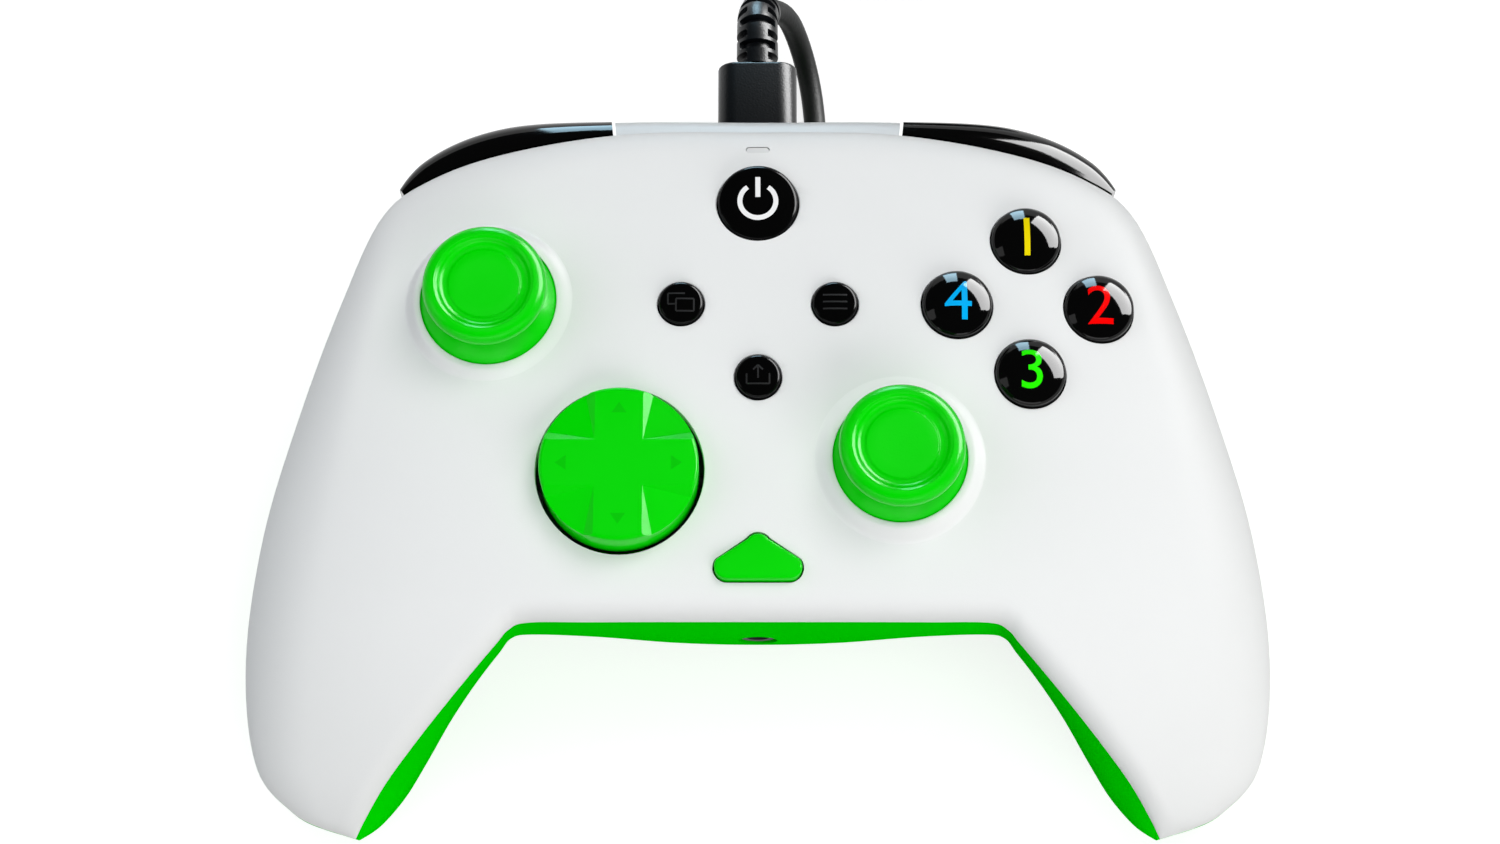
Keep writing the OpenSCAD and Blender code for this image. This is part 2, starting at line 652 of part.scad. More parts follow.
module inner_frame() {
    pin_fit = 0.02;
    color(rubber)
    difference() {
        union() {
            translate([-rail_half, rail_y, rail_z]) cube([2 * rail_half, rail_t, rail_top - rail_z]);
            translate([-rail_end, rail_y, rail_end_z]) cube([2 * rail_end, rail_t, rail_top - rail_end_z]);
            for (m = [-1, 1]) {
                for (x = [ear_in, ear_out]) ear(m, trigger_in + x);
                translate([m * bumper_hub[0] - bumper_hub_r, rail_y, rail_top - 1])
                    cube([2 * bumper_hub_r, bumper_post_rear - rail_y,
                        bumper_hub[1] + bumper_hub_r - rail_top + 1]);
                translate([m * bumper_hub[0], bumper_post_rear - 1, bumper_hub[1]]) rotate([-90, 0, 0])
                    cylinder(r = bumper_pin_r, h = bumper_pin_l);
            }
        }
        for (m = [-1, 1])
            translate([m * trigger_in, trigger_y, trigger_z]) rotate([0, m * 90, 0])
                cylinder(r = trigger_pin_d / 2 + pin_fit, h = ear_out + ear_t + 1);
    }
}
module ear(m, x) {
    translate([m > 0 ? x : -x - ear_t, 0, 0]) {
        translate([0, trigger_y, trigger_z]) rotate([0, 90, 0]) cylinder(r = ear_r, h = ear_t);
        translate([0, rail_y + rail_t / 2, trigger_z - ear_r])
            cube([ear_t, trigger_y - rail_y - rail_t / 2, 2 * ear_r]);
        translate([0, rail_y + rail_t / 2, rail_end_z])
            cube([ear_t, rail_t / 2 + 0.6, rail_top - rail_end_z]);
    }
}

switch_h = 2.4;
module bumper_switches() {
    color(grey)
    for (m = [-1, 1])
        translate([m * bumper_arm_x, rail_y + rail_t / 2, rail_top]) {
            translate([-switch_w / 2, -switch_deep / 2, 0]) cube([switch_w, switch_deep, switch_h]);
            cylinder(r = 0.8, h = bumper_arm_z - rail_top - 1.1);
        }
}

tongue_half = 9.5;
module main_board() {
    front_tongue = front_edge - wall - 2.2;
    rear_tongue = rear_edge - 0.8;
    color(board_green)
    difference() {
        translate([0, 0, board_z]) linear_extrude(board_t) union() {
            translate([-board_w / 2, -board_front]) square([board_w, board_front + board_rear]);
            translate([-tongue_half, -front_tongue]) square([2 * tongue_half, front_tongue + rear_tongue]);
        }
        for (p = board_posts)
            translate([p[0], p[1], board_z - 1])
                cylinder(r = board_screw_r + board_hole_gap, h = board_t + 2);
    }
}

module board_screws() {
    color(steel)
    for (p = board_posts) translate([p[0], p[1], 0]) {
        translate([0, 0, board_z - board_screw_l + 1])
            cylinder(r = board_screw_r, h = board_t + board_screw_l - 1);
        translate([0, 0, board_top]) cylinder(r = 2 * board_screw_r, h = board_screw_head);
    }
}

module shell_screws() {
    color(steel)
    for (b = bosses) translate([b[0], b[1], b[2] - boss_floor]) {
        translate([0, 0, -screw_head_t]) cylinder(r = screw_head_r, h = screw_head_t);
        cylinder(r = screw_r, h = screw_grip);
    }
}

// Thumbsticks. Each module is drawn round its pivot and moved to its place.
house_half = 7.6;
house_wall = 0.8;
house_floor = 0.8;
house_over = 2;
axle_r = 0.9;
cross_pin_r = 0.7;
slider_in = 5.4;
slider_out = 6.5;
slider_half = 2.2;
slider_drop = 4.5;
slider_t = 0.8;
yoke_half = [5.1, 2.6, 2];
yoke_slot = [3, 1.6];
rocker_in = 5.4;
rocker_out = 6.4;
rocker_z = 4.6;
rocker_t = 1;
rocker_half = 2.6;
rocker_slot = [1.65, 4.2];
shaft_half = 1.3;
shaft_r = 1.8;
shaft_step = 7.2;
shaft_top = 12.8;
shaft_fit = 0.03;
shaft_end_gap = 0.1;
ring_over = 0.9;
ring_h = 3.2;
ring_gap = 0.1;
rim_z = face_at(right_stick) + ring_over - stick_pivot_z;
clear_r = norm([stick_opening_d / 2, rim_z]);
skirt_r = clear_r - skirt_gap;
skirt_t = 1.4;

// Section of a cut that takes the sharp edge off a turned piece
edge_cut_w = 0.7;
function edge_cut(r) = [[r - edge_cut_w, 0.1], [r + 0.1, -edge_cut_w], [r + 0.1, 0.1]];

module at_stick(p) { translate([p[0], p[1], stick_pivot_z]) children(); }

module stick_opening(p) {
    translate([p[0], p[1], board_top + 2]) cylinder(r = stick_ring_d / 2 + ring_gap, h = face_z);
    at_stick(p) sphere(r = clear_r + 0.05, $fn = 96);
}

module stick_ring(p) {
    top = face_at(p) + ring_over;
    color(white)
    difference() {
        translate([p[0], p[1], top - ring_h]) cylinder(r = stick_ring_d / 2, h = ring_h);
        at_stick(p) sphere(r = clear_r, $fn = 96);
        translate([p[0], p[1], top]) rotate_extrude()
            polygon(edge_cut(stick_ring_d / 2));
    }
}
module left_stick_ring() { stick_ring(left_stick); }
module right_stick_ring() { stick_ring(right_stick); }

module stick_module(p) {
    color(steel)
    translate([p[0], p[1], board_top])
        difference() {
            translate([-house_half, -house_half, 0])
                cube([2 * house_half, 2 * house_half, stick_pivot_h + house_over]);
            translate([house_wall - house_half, house_wall - house_half, house_floor])
                cube([2 * (house_half - house_wall), 2 * (house_half - house_wall), 20]);
            translate([0, 0, stick_pivot_h]) rotate([90, 0, 0])
                cylinder(r = axle_r + run_gap, h = 4 * house_half, center = true);
        }
}
module left_stick_module() { stick_module(left_stick); }
module right_stick_module() { stick_module(right_stick); }

module click_slider(p) {
    color(rubber)
    at_stick(p) difference() {
        union() {
            translate([-slider_out, -slider_half, -slider_drop])
                cube([2 * slider_out, 2 * slider_half, slider_t]);
            for (x = [-slider_out, slider_in])
                translate([x, -slider_half, -slider_drop])
                    cube([slider_out - slider_in, 2 * slider_half, slider_drop + 1.6]);
        }
        rotate([0, 90, 0]) cylinder(r = axle_r + run_gap, h = 4 * slider_out, center = true);
    }
}
module left_click_slider() { click_slider(left_stick); }
module right_click_slider() { click_slider(right_stick); }

module stick_yoke(p) {
    color(amber)
    at_stick(p) difference() {
        union() {
            translate(-yoke_half) cube(2 * yoke_half);
            rotate([0, 90, 0]) cylinder(r = axle_r, h = 2 * slider_out - 0.2, center = true);
        }
        translate([-yoke_slot[0], -yoke_slot[1], -5]) cube([2 * yoke_slot[0], 2 * yoke_slot[1], 10]);
        rotate([90, 0, 0]) cylinder(r = cross_pin_r + run_gap, h = 4 * yoke_half[1], center = true);
    }
}
module left_stick_yoke() { stick_yoke(left_stick); }
module right_stick_yoke() { stick_yoke(right_stick); }

module stick_rocker(p) {
    color(grey)
    at_stick(p) difference() {
        union() {
            translate([-rocker_half, -rocker_out, rocker_z])
                cube([2 * rocker_half, 2 * rocker_out, rocker_t]);
            for (y = [-rocker_out, rocker_in])
                translate([-1.6, y, -1.4]) cube([3.2, rocker_out - rocker_in, rocker_z + 1.8]);
            for (m = [-1, 1])
                rotate([90, 0, 0]) translate([0, 0, m > 0 ? rocker_in : -house_half])
                    cylinder(r = axle_r, h = house_half - rocker_in);
        }
        translate([-rocker_slot[0], -rocker_slot[1], rocker_z - 1])
            cube([2 * rocker_slot[0], 2 * rocker_slot[1], rocker_t + 2]);
    }
}
module left_stick_rocker() { stick_rocker(left_stick); }
module right_stick_rocker() { stick_rocker(right_stick); }

module stick_shaft(p) {
    color(rubber)
    at_stick(p) {
        translate([-shaft_half, -shaft_half, -2.5]) cube([2 * shaft_half, 2 * shaft_half, shaft_step + 3]);
        translate([0, 0, shaft_step]) cylinder(r = shaft_r, h = shaft_top - shaft_step);
        rotate([90, 0, 0]) cylinder(r = cross_pin_r, h = 2 * yoke_half[1] - 0.3, center = true);
    }
}
module left_stick_shaft() { stick_shaft(left_stick); }
module right_stick_shaft() { stick_shaft(right_stick); }

// Cap: skirt on the pivot's sphere, neck, rim and hollow top, as one turned profile
skirt_low = 22;
skirt_high = 58;
cap_neck_r = 6.2;
cap_hub_r = 3.2;
cap_hub_z = 7.8;
cap_dish_r = 6.6;
cap_dish_depth = 1.3;
function cap_profile() =
    let(r = cap_d / 2, top = cap_h + cap_t)
    concat(
        arc_points([0, 0], skirt_r, skirt_low, skirt_high, 10),
        [[cap_neck_r, skirt_r * sin(skirt_high) + 0.3], [cap_neck_r + 0.3, cap_h - 0.9]],
        [[r * 0.8, cap_h - 0.35], [r - 0.9, cap_h]],
        arc_points([r - 0.7, cap_h + 0.8], 0.7, -60, 0, 3),
        arc_points([r - 1.1, top - 1.1], 1.1, 0, 90, 5),
        [[cap_dish_r + 0.5, top], [cap_dish_r, top - 0.5], [cap_dish_r - 0.7, top - cap_dish_depth + 0.3]],
        [[cap_dish_r * 0.5, top - cap_dish_depth - 0.1], [0, top - cap_dish_depth - 0.2]],
        [[0, shaft_top + shaft_end_gap], [shaft_r + shaft_fit, shaft_top + shaft_end_gap]],
        [[shaft_r + shaft_fit, cap_hub_z], [cap_hub_r, cap_hub_z]],
        [[cap_hub_r, sqrt(pow(skirt_r - skirt_t, 2) - pow(cap_hub_r, 2)) - 0.3]],
        arc_points([0, 0], skirt_r - skirt_t, skirt_high, skirt_low, 10)
    );

module stick_cap(p) {
    color(green)
    at_stick(p) rotate_extrude($fn = 96) polygon(cap_profile());
}
module left_stick_cap() { stick_cap(left_stick); }
module right_stick_cap() { stick_cap(right_stick); }

// Direction pad on a gimbal ring that hangs from bearings in the front shell
gimbal_z = 36.4;
gimbal_t = 2.2;
gimbal_in = 7.6;
gimbal_out = 10.6;
gimbal_axle_r = 0.9;
gimbal_pivot = gimbal_z + gimbal_t / 2;
bearing_in = 11.2;
bearing_out = 13.4;
dpad_face = face(dpad_x, dpad_y);
dpad_top = dpad_face + dpad_proud;
dpad_base = gimbal_z + gimbal_t + 2;

module dpad_bearings() {
    bearing_w = 4;
    bearing_r = 2.2;
    difference() {
        for (x = [bearing_in, -bearing_out])
            translate([dpad_x + x, dpad_y - bearing_w / 2, gimbal_pivot - bearing_r])
                cube([bearing_out - bearing_in, bearing_w, dpad_face - wall / 2 - gimbal_pivot + bearing_r]);
        translate([dpad_x, dpad_y, gimbal_pivot]) rotate([0, 90, 0])
            cylinder(r = gimbal_axle_r + run_gap, h = 4 * bearing_out, center = true);
    }
}

module dpad_gimbal() {
    color(rubber)
    translate([dpad_x, dpad_y, gimbal_pivot]) difference() {
        union() {
            translate([0, 0, -gimbal_t / 2]) cylinder(r = gimbal_out, h = gimbal_t);
            rotate([0, 90, 0]) cylinder(r = gimbal_axle_r, h = 2 * bearing_out - 0.4, center = true);
        }
        translate([0, 0, -gimbal_t]) cylinder(r = gimbal_in, h = 2 * gimbal_t);
        rotate([90, 0, 0]) cylinder(r = gimbal_axle_r + run_gap, h = 4 * gimbal_out, center = true);
    }
}

module dpad() {
    stem_half = 3.4;
    foot_r = 5.2;
    r = dpad_d / 2;
    color(green)
    translate([dpad_x, dpad_y, 0]) {
        difference() {
            translate([0, 0, dpad_base]) cylinder(r = r, h = dpad_top - dpad_base);
            for (a = [0 : 90 : 270]) translate([0, 0, dpad_top]) rotate([0, 0, a]) dpad_hollow_cut(r);
            translate([0, 0, dpad_top]) rotate_extrude()
                polygon(edge_cut(r));
        }
        translate([0, 0, mat_rim_top + 0.8]) cylinder(r = foot_r, h = 1.2);
        translate([-stem_half, -foot_r, mat_rim_top + 1.6])
            cube([2 * stem_half, 2 * foot_r, dpad_base - mat_rim_top - 1.2]);
        translate([0, 0, gimbal_pivot]) rotate([90, 0, 0])
            cylinder(r = gimbal_axle_r, h = 2 * gimbal_out - 0.6, center = true);
    }
}

// Hollow in one quarter of the pad: a floor that falls from the middle to the rim
hollow_wall = 1.8;
module dpad_hollow_cut(r) {
    a = dpad_arm_w / 2;
    far = r + 3;
    d = dpad_hollow * far / r;
    run = hollow_wall * far / r;
    up = 1;
    polyhedron(
        [[a, a, 0], [far, a, up], [far, far, up], [a, far, up],
            [a, a, up], [far, a, 0], [a, far, 0], [far, a + run, -d], [far, far, -d], [a + run, far, -d]],
        [[4, 3, 2], [4, 2, 1], [4, 1, 5], [4, 5, 0], [4, 0, 6], [4, 6, 3],
            [0, 5, 7], [0, 7, 8], [0, 8, 9], [0, 9, 6],
            [1, 2, 8], [1, 8, 7], [1, 7, 5], [3, 6, 9], [3, 9, 8], [3, 8, 2]]
    );
}

// Buttons: a turned body with a flange under the shell and a stem over the key mat
stem_r = 1.8;
stem_l = 2.1;
shoulder_t = 0.6;
shoulder_r = 3;
small_shoulder_r = 2.4;
button_edge = 0.4;
function action_place(i) = [action_x + action_pitch * sin(90 * i), action_y + action_pitch * cos(90 * i)];
small_places = [[-small_x, small_y], [small_x, small_y], [0, share_y]];
function dome_arc(r, dome) =
    let(ball = (r * r + dome * dome) / (2 * dome), reach = asin(r / ball))
    arc_points([0, dome - ball], ball, 90 - reach, 90, 6);

module button(p, d, proud, dome, shoulder) {
    r = d / 2;
    side_top = face_at(p) + proud;
    stem_low = mat_rim_top + key_rest_gap;
    flange_low = stem_low + stem_l;
    color(black)
    translate([p[0], p[1], 0]) rotate_extrude()
        polygon(concat(
            [[0, stem_low], [stem_r, stem_low], [stem_r, flange_low - shoulder_t]],
            [[shoulder, flange_low - shoulder_t], [shoulder, flange_low]],
            [[r + flange_extra, flange_low], [r + flange_extra, flange_low + flange_t]],
            [[r, flange_low + flange_t], [r, side_top - button_edge]],
            [for (q = dome_arc(r - button_edge, dome)) [q[0], q[1] + side_top]]
        ));
}
module north_button() { button(action_place(0), action_d, action_proud, action_dome, shoulder_r); }
module east_button() { button(action_place(1), action_d, action_proud, action_dome, shoulder_r); }
module south_button() { button(action_place(2), action_d, action_proud, action_dome, shoulder_r); }
module west_button() { button(action_place(3), action_d, action_proud, action_dome, shoulder_r); }
module home_button() { button([0, home_y], home_d, home_proud, home_dome, shoulder_r); }
module view_button() { button(small_places[0], small_d, small_proud, small_dome, small_shoulder_r); }
module menu_button() { button(small_places[1], small_d, small_proud, small_dome, small_shoulder_r); }
module share_button() { button(small_places[2], small_d, small_proud, small_dome, small_shoulder_r); }

// Audio button: a triangle with round corners and a switch under it
audio_corner = 1.9;
module audio_outline(gap) {
    r = audio_corner + gap;
    x = audio_w / 2 - audio_corner;
    y = audio_l / 2 - audio_corner;
    translate([0, audio_y]) {
        polygon(concat(
            arc_points([0, y], r, 145, 35, 6),
            arc_points([x, -y], r, 35, -90, 8),
            arc_points([-x, -y], r, -90, -215, 8)
        ));
    }
}
audio_top = face(0, audio_y) + audio_proud;
audio_switch_h = 3.6;
module audio_button() {
    stem_low = board_top + audio_switch_h + 1.1;
    color(green) {
        translate([0, 0, audio_top - 5.5]) linear_extrude(5.5) audio_outline(0);
        translate([0, audio_y - 0.4, stem_low]) cylinder(r = 1.6, h = audio_top - 5 - stem_low);
    }
}
module audio_switch() {
    color(grey)
    translate([0, audio_y - 0.4, board_top]) {
        translate([-3, -2.6, 0]) cube([6, 5.2, audio_switch_h - 1]);
        cylinder(r = 1.5, h = audio_switch_h + 0.2);
    }
}

// Key mats: a rubber sheet on the board with a rim under each button
module keymat(places, w, l, middle) {
    rim_in = stem_r + mat_rim_gap;
    rim_out = rim_in + mat_rim_t;
    color(rubber)
    difference() {
        union() {
            translate([middle[0] - w / 2, middle[1] - l / 2, board_top]) cube([w, l, mat_t]);
            for (p = places)
                translate([p[0], p[1], board_top]) cylinder(r = rim_out, h = mat_t + mat_rim_h);
        }
        for (p = places)
            translate([p[0], p[1], board_top + mat_floor]) cylinder(r = rim_in, h = mat_t + mat_rim_h);
    }
}
mat_margin = 8.5;
mat_edge = 3.5;
mat_pad = 4.4;
module action_keymat() {
    places = [for (i = [0 : 3]) action_place(i)];
    keymat(places, 2 * (action_pitch - mat_edge), 2 * (action_pitch + mat_edge), [action_x, action_y]);
    color(rubber)
    for (i = [1, 3]) difference() {
        translate([action_place(i)[0] - mat_pad, action_y - mat_pad, board_top])
            cube([2 * mat_pad, 2 * mat_pad, mat_t]);
        translate([action_place(i)[0], action_y, board_top + mat_floor])
            cylinder(r = stem_r + mat_rim_gap, h = mat_t + mat_rim_h);
    }
}
module menu_keymat() {
    keymat(concat(small_places, [[0, home_y]]), 2 * (small_x + mat_edge), home_y - share_y + mat_margin,
        [0, (home_y + share_y) / 2]);
}
module dpad_keymat() {
    contact_r = 0.3 * dpad_d;
    places = [for (a = [45 : 90 : 315]) [dpad_x, dpad_y] + contact_r * [cos(a), sin(a)]];
    keymat(places, 2.5 * contact_r, 2 * (board_front + dpad_y - 0.5), [dpad_x, dpad_y]);
}

// Light pipe from the board to a slit in the face
pipe_w = 3.4;
pipe_l = 0.9;
pipe_foot_h = 5.4;
pipe_proud = 0.05;
pipe_gap = 0.1;
module status_light_pipe() {
    color(white)
    translate([0, light_y, board_top]) {
        translate([-2.6, -1.2, 0]) cube([5.2, 2.4, pipe_foot_h]);
        linear_extrude(face(0, light_y) - board_top + pipe_proud)
            polygon(rounded_box(pipe_w, pipe_l, 0.96 * pipe_l / 2));
    }
}

// Rumble motors in the grips, each with an eccentric weight that hangs down at rest
module right_rumble_motor() {
    color(steel)
    translate([motor_x, motor_y, motor_z]) rotate([0, 90, 0]) {
        cylinder(r = motor_d / 2, h = motor_l);
        cylinder(r = motor_shaft_r, h = motor_l + motor_shaft_l);
    }
}
module left_rumble_motor() { mirror([1, 0, 0]) right_rumble_motor(); }
module right_rumble_weight() {
    color(steel)
    translate([motor_x + motor_l + weight_gap, motor_y, motor_z]) rotate([0, 90, 0]) difference() {
        union() {
            intersection() {
                cylinder(r = weight_r, h = weight_t);
                translate([0, -weight_r, -1]) cube([weight_r, 2 * weight_r, weight_t + 2]);
            }
            cylinder(r = 2.2 * motor_shaft_r, h = weight_t);
        }
        translate([0, 0, -1]) cylinder(r = motor_shaft_r + run_gap, h = weight_t + 2);
    }
}
module left_rumble_weight() { mirror([1, 0, 0]) right_rumble_weight(); }

// Sockets on the underside of the board
usb_hollow = [8.6, 2.7];
module usb_socket() {
    color(steel)
    translate([0, usb_rear, usb_z]) {
        difference() {
            translate([-usb_w / 2, -usb_l, -usb_h / 2]) cube([usb_w, usb_l, usb_h]);
            translate([-usb_hollow[0] / 2, -usb_l + 1, -usb_hollow[1] / 2])
                cube([usb_hollow[0], usb_l, usb_hollow[1]]);
        }
        translate([-3.3, -usb_l + 0.5, -0.35]) cube([6.6, usb_l - 2, 0.7]);
    }
}

module headset_jack() {
    color(black)
    difference() {
        union() {
            translate([-jack_body[0] / 2, -jack_front, board_z - jack_body[2]]) cube(jack_body);
            translate([0, -jack_front + 1, jack_z]) rotate([90, 0, 0])
                cylinder(r = jack_nose_r, h = jack_nose_y - jack_front + 1);
        }
        translate([0, jack_depth - jack_nose_y, jack_z]) rotate([90, 0, 0])
            cylinder(r = jack_d / 2, h = jack_depth + 1);
    }
}

// Cable. The plug sits in the socket, its relief bends down and the cord runs to a coil.
plug_shell_size = [8.3, 2.45];
module plug() {
    color(black)
    translate([0, relief_start, usb_z]) rotate([90, 0, 0])
        linear_extrude(relief_start - plug_front) polygon(rounded_box(plug_w, plug_h, plug_corner_r));
}
module plug_shell() {
    reach = usb_l - 2;
    color(steel)
    translate([0, plug_front, usb_z]) rotate([90, 0, 0]) linear_extrude(reach) difference() {
        polygon(rounded_box(plug_shell_size[0], plug_shell_size[1], 1.1));
        polygon(rounded_box(plug_shell_size[0] - 0.7, plug_shell_size[1] - 0.7, 0.8));
    }
}

cord_r = cord_d / 2;
tie_gap = 0.1;
coil_z = cord_r + tie_t + tie_gap;
relief_points = 5;
cord_route = [
    [0, relief_start, usb_z], [0, 63, usb_z], [0, 66.5, 27], [0.1, 69.6, 25.4], [0.7, 72.2, 22.4],
    [2.5, 74.4, 18.6], [4.7, 75.2, 14.4], [6.2, 74.6, 10], [7.6, 72.3, 6], [8.7, 68.8, 3.3],
    [9.4, 64.5, 2.1], [9.8, 59, 1.9], [10, 53, 1.9], [10, 46, 1.9], [10, 40, 1.9],
    [9, 33, 1.9], [5.6, 27.4, 1.9], [0.2, 24.4, 1.9], [-6, 24.4, 1.9], [-11.4, 27.4, 1.9],
    [-14.9, 33, 1.9], [-15.8, 39.5, 1.9], [-14.4, 46, 1.9], [-10.8, 51.6, 1.9], [-6.4, 56.6, 1.9],
    [-2.8, 62, 1.9], [-0.7, 68, 1.9], [0, 75, 2], [0, 84, 2.3], [0, 93, 2.6],
    [0, 104, coil_z], [0, 111, coil_z], [0, 116, coil_z]];
cord_end = cord_route[len(cord_route) - 1];
upright_until = 13;
function route_way(i) = i == 0 ? [0, 1, 0] : i == len(cord_route) - 1 ? [0, 1, 0] : heading(cord_route, i);
function route_ring(i, r, sides) =
    let(way = route_way(i))
    ring(cord_route[i], r, way, i < upright_until ? upright_side(way) : level_side(way), sides);

// The relief tapers along the route, with grooves cut round it
relief_r = 3.3;
relief_end_r = 3.2;
relief_groove = 0.55;
relief_steps = 4;
module strain_relief() {
    last = relief_points - 1;
    n = last * relief_steps;
    function spot(i) = let(k = min(floor(i / relief_steps), last - 1), t = i / relief_steps - k)
        curve(cord_route[max(k - 1, 0)], cord_route[k], cord_route[k + 1], cord_route[k + 2], t);
    path = [for (i = [0 : n]) spot(i)];
    function way(i) = i == 0 ? [0, 1, 0] : i == n ? route_way(last) : heading(path, i);
    color(black)
    rings_solid([for (i = [0 : n])
        let(grooved = i > 2 && i < n && i % 3 == 0)
        ring(path[i], mix(relief_r, relief_end_r, i / n) - (grooved ? relief_groove : 0),
            way(i), upright_side(way(i)), 12)]);
}

module cord_lead() {
    color(black)
    rings_solid([for (i = [relief_points - 1 : len(cord_route) - 1]) route_ring(i, cord_r, 8)]);
}

// Coil: the turns spiral in and out in four layers and climb where the spiral reverses
coil_layers = 4;
layer_turns = 4;
loop_rings = 24;
coil_turns = coil_layers * layer_turns;
coil_out = coil_d / 2 + layer_turns * coil_pitch / 2;
coil_middle = [cord_end[0] + coil_out, cord_end[1] + cord_d];
far_plug_w = 15;
far_plug_h = 7.4;
far_plug_l = 24;
far_shell = [12, 4.5, 12];
coil_top = coil_z + (coil_layers - 1) * coil_pitch + cord_r;
far_plug_z = coil_top + 0.2 + far_plug_h / 2;
last_bend_r = 11;
last_bend = 52;
function coil_climb(t) =
    coil_pitch * (smooth((t - layer_turns) * 2 + 0.5) + smooth((t - 2 * layer_turns) * 2 + 0.5)
        + smooth((t - 3 * layer_turns) * 2 + 0.5))
    + (far_plug_z - coil_top + cord_r) * smooth((t - coil_turns + 0.6) * 1.7);
function coil_radius(t) = coil_out - coil_pitch * (layer_turns - abs(t % (2 * layer_turns) - layer_turns));
function coil_point(t) = let(a = 180 - 360 * t, r = coil_radius(t))
    [coil_middle[0] + r * cos(a), coil_middle[1] + r * sin(a), coil_z + coil_climb(t)];
bend_middle = coil_middle + (coil_out - last_bend_r) * [cos(180), sin(180)];
function bend_point(a) = [
    bend_middle[0] + last_bend_r * cos(180 - a), bend_middle[1] + last_bend_r * sin(180 - a), far_plug_z];
far_way = [sin(last_bend), cos(last_bend), 0];
far_start = bend_point(last_bend) + far_way * 1.5 * cord_d;
coil_turn_points = [for (i = [0 : coil_turns * loop_rings]) coil_point(i / loop_rings)];
coil_points = concat(
    [cord_end],
    coil_turn_points,
    [for (i = [1 : 4]) bend_point(last_bend * i / 4)],
    [far_start - far_way * cord_r, far_start]
);
function least_gap(points, apart) = min([
    for (i = [0 : len(points) - apart - 1]) min([
        for (j = [i + apart : len(points) - 1]) norm(points[i] - points[j])])]) - cord_d;

module cord_coil() {
    last = len(coil_points) - 1;
    echo("Least gap between the cord's turns, mm", least_gap(coil_points, loop_rings / 2));
    function way(i) = i == 0 ? [0, 1, 0] : i >= last - 1 ? far_way : heading(coil_points, i);
    color(black)
    rings_solid([for (i = [0 : last]) ring(coil_points[i], cord_r, way(i), level_side(way(i)), 6)]);
}

// Tie round the coil, before its last turn climbs to the far plug
tie_w = 10;
tie_turn = 62;
module cable_tie() {
    low = coil_d / 2 - layer_turns * coil_pitch / 2 - cord_r - 1.6;
    high = coil_out + cord_r + 0.4;
    tall = coil_top + tie_t + 0.2;
    color(black)
    translate([coil_middle[0], coil_middle[1], 0]) rotate([0, 0, tie_turn])
        translate([(low + high) / 2, tie_w / 2, tall / 2]) rotate([90, 0, 0])
            linear_extrude(tie_w) difference() {
                polygon(rounded_box(high - low + 2 * tie_t, tall, 2.4));
                polygon(rounded_box(high - low, tall - 2 * tie_t, 1.6));
            }
}

module at_far_plug() {
    translate(far_start) rotate([0, 0, -last_bend]) rotate([-90, 0, 0]) children();
}
far_neck_l = 7;
module far_plug() {
    color(black)
    at_far_plug() {
        cylinder(r1 = cord_r + 0.5, r2 = far_plug_h / 2, h = far_neck_l);
        translate([0, 0, far_neck_l - 0.5]) linear_extrude(far_plug_l - far_neck_l + 0.5)
            polygon(rounded_box(far_plug_w, far_plug_h, 2));
    }
}
module far_plug_shell() {
    color(steel)
    at_far_plug() translate([0, 0, far_plug_l]) linear_extrude(far_shell[2]) difference() {
        polygon(rounded_box(far_shell[0], far_shell[1], 0.6));
        translate([0, 1]) square([far_shell[0] - 0.8, far_shell[1] - 2.8], center = true);
    }
}

front_shell();
back_shell();
rear_bridge();
inner_frame();
main_board();
left_stick_module();
right_stick_module();
left_stick_ring();
right_stick_ring();
left_click_slider();
right_click_slider();
left_stick_yoke();
right_stick_yoke();
left_stick_rocker();
right_stick_rocker();
left_stick_shaft();
right_stick_shaft();
left_stick_cap();
right_stick_cap();
dpad_gimbal();
dpad();
north_button();
east_button();
south_button();
west_button();
home_button();
view_button();
menu_button();
share_button();
audio_button();
action_keymat();
menu_keymat();
dpad_keymat();
audio_switch();
status_light_pipe();
left_bumper();
right_bumper();
bumper_switches();
left_trigger();
right_trigger();
left_trigger_pin();
right_trigger_pin();
left_trigger_spring();
right_trigger_spring();
left_rumble_motor();
right_rumble_motor();
left_rumble_weight();
right_rumble_weight();
usb_socket();
headset_jack();
shell_screws();
board_screws();
plug();
plug_shell();
strain_relief();
cord_lead();
cord_coil();
cable_tie();
far_plug();
far_plug_shell();
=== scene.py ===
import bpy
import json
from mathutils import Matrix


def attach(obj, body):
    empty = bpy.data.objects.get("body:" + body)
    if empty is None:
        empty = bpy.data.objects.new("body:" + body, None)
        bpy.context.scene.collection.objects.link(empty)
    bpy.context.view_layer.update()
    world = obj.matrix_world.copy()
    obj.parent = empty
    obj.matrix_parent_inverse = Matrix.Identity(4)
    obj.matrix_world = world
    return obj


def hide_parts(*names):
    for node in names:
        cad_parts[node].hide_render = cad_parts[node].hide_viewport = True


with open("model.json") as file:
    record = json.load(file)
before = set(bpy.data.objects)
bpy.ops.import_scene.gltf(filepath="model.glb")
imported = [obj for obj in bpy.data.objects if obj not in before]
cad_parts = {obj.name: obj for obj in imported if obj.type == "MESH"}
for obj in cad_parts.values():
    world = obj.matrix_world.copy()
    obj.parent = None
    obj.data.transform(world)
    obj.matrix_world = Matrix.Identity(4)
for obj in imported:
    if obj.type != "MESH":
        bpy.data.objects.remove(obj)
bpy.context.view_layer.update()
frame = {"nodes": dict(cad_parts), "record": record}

import json
import math

import bmesh
import bpy
from mathutils import Matrix, Vector

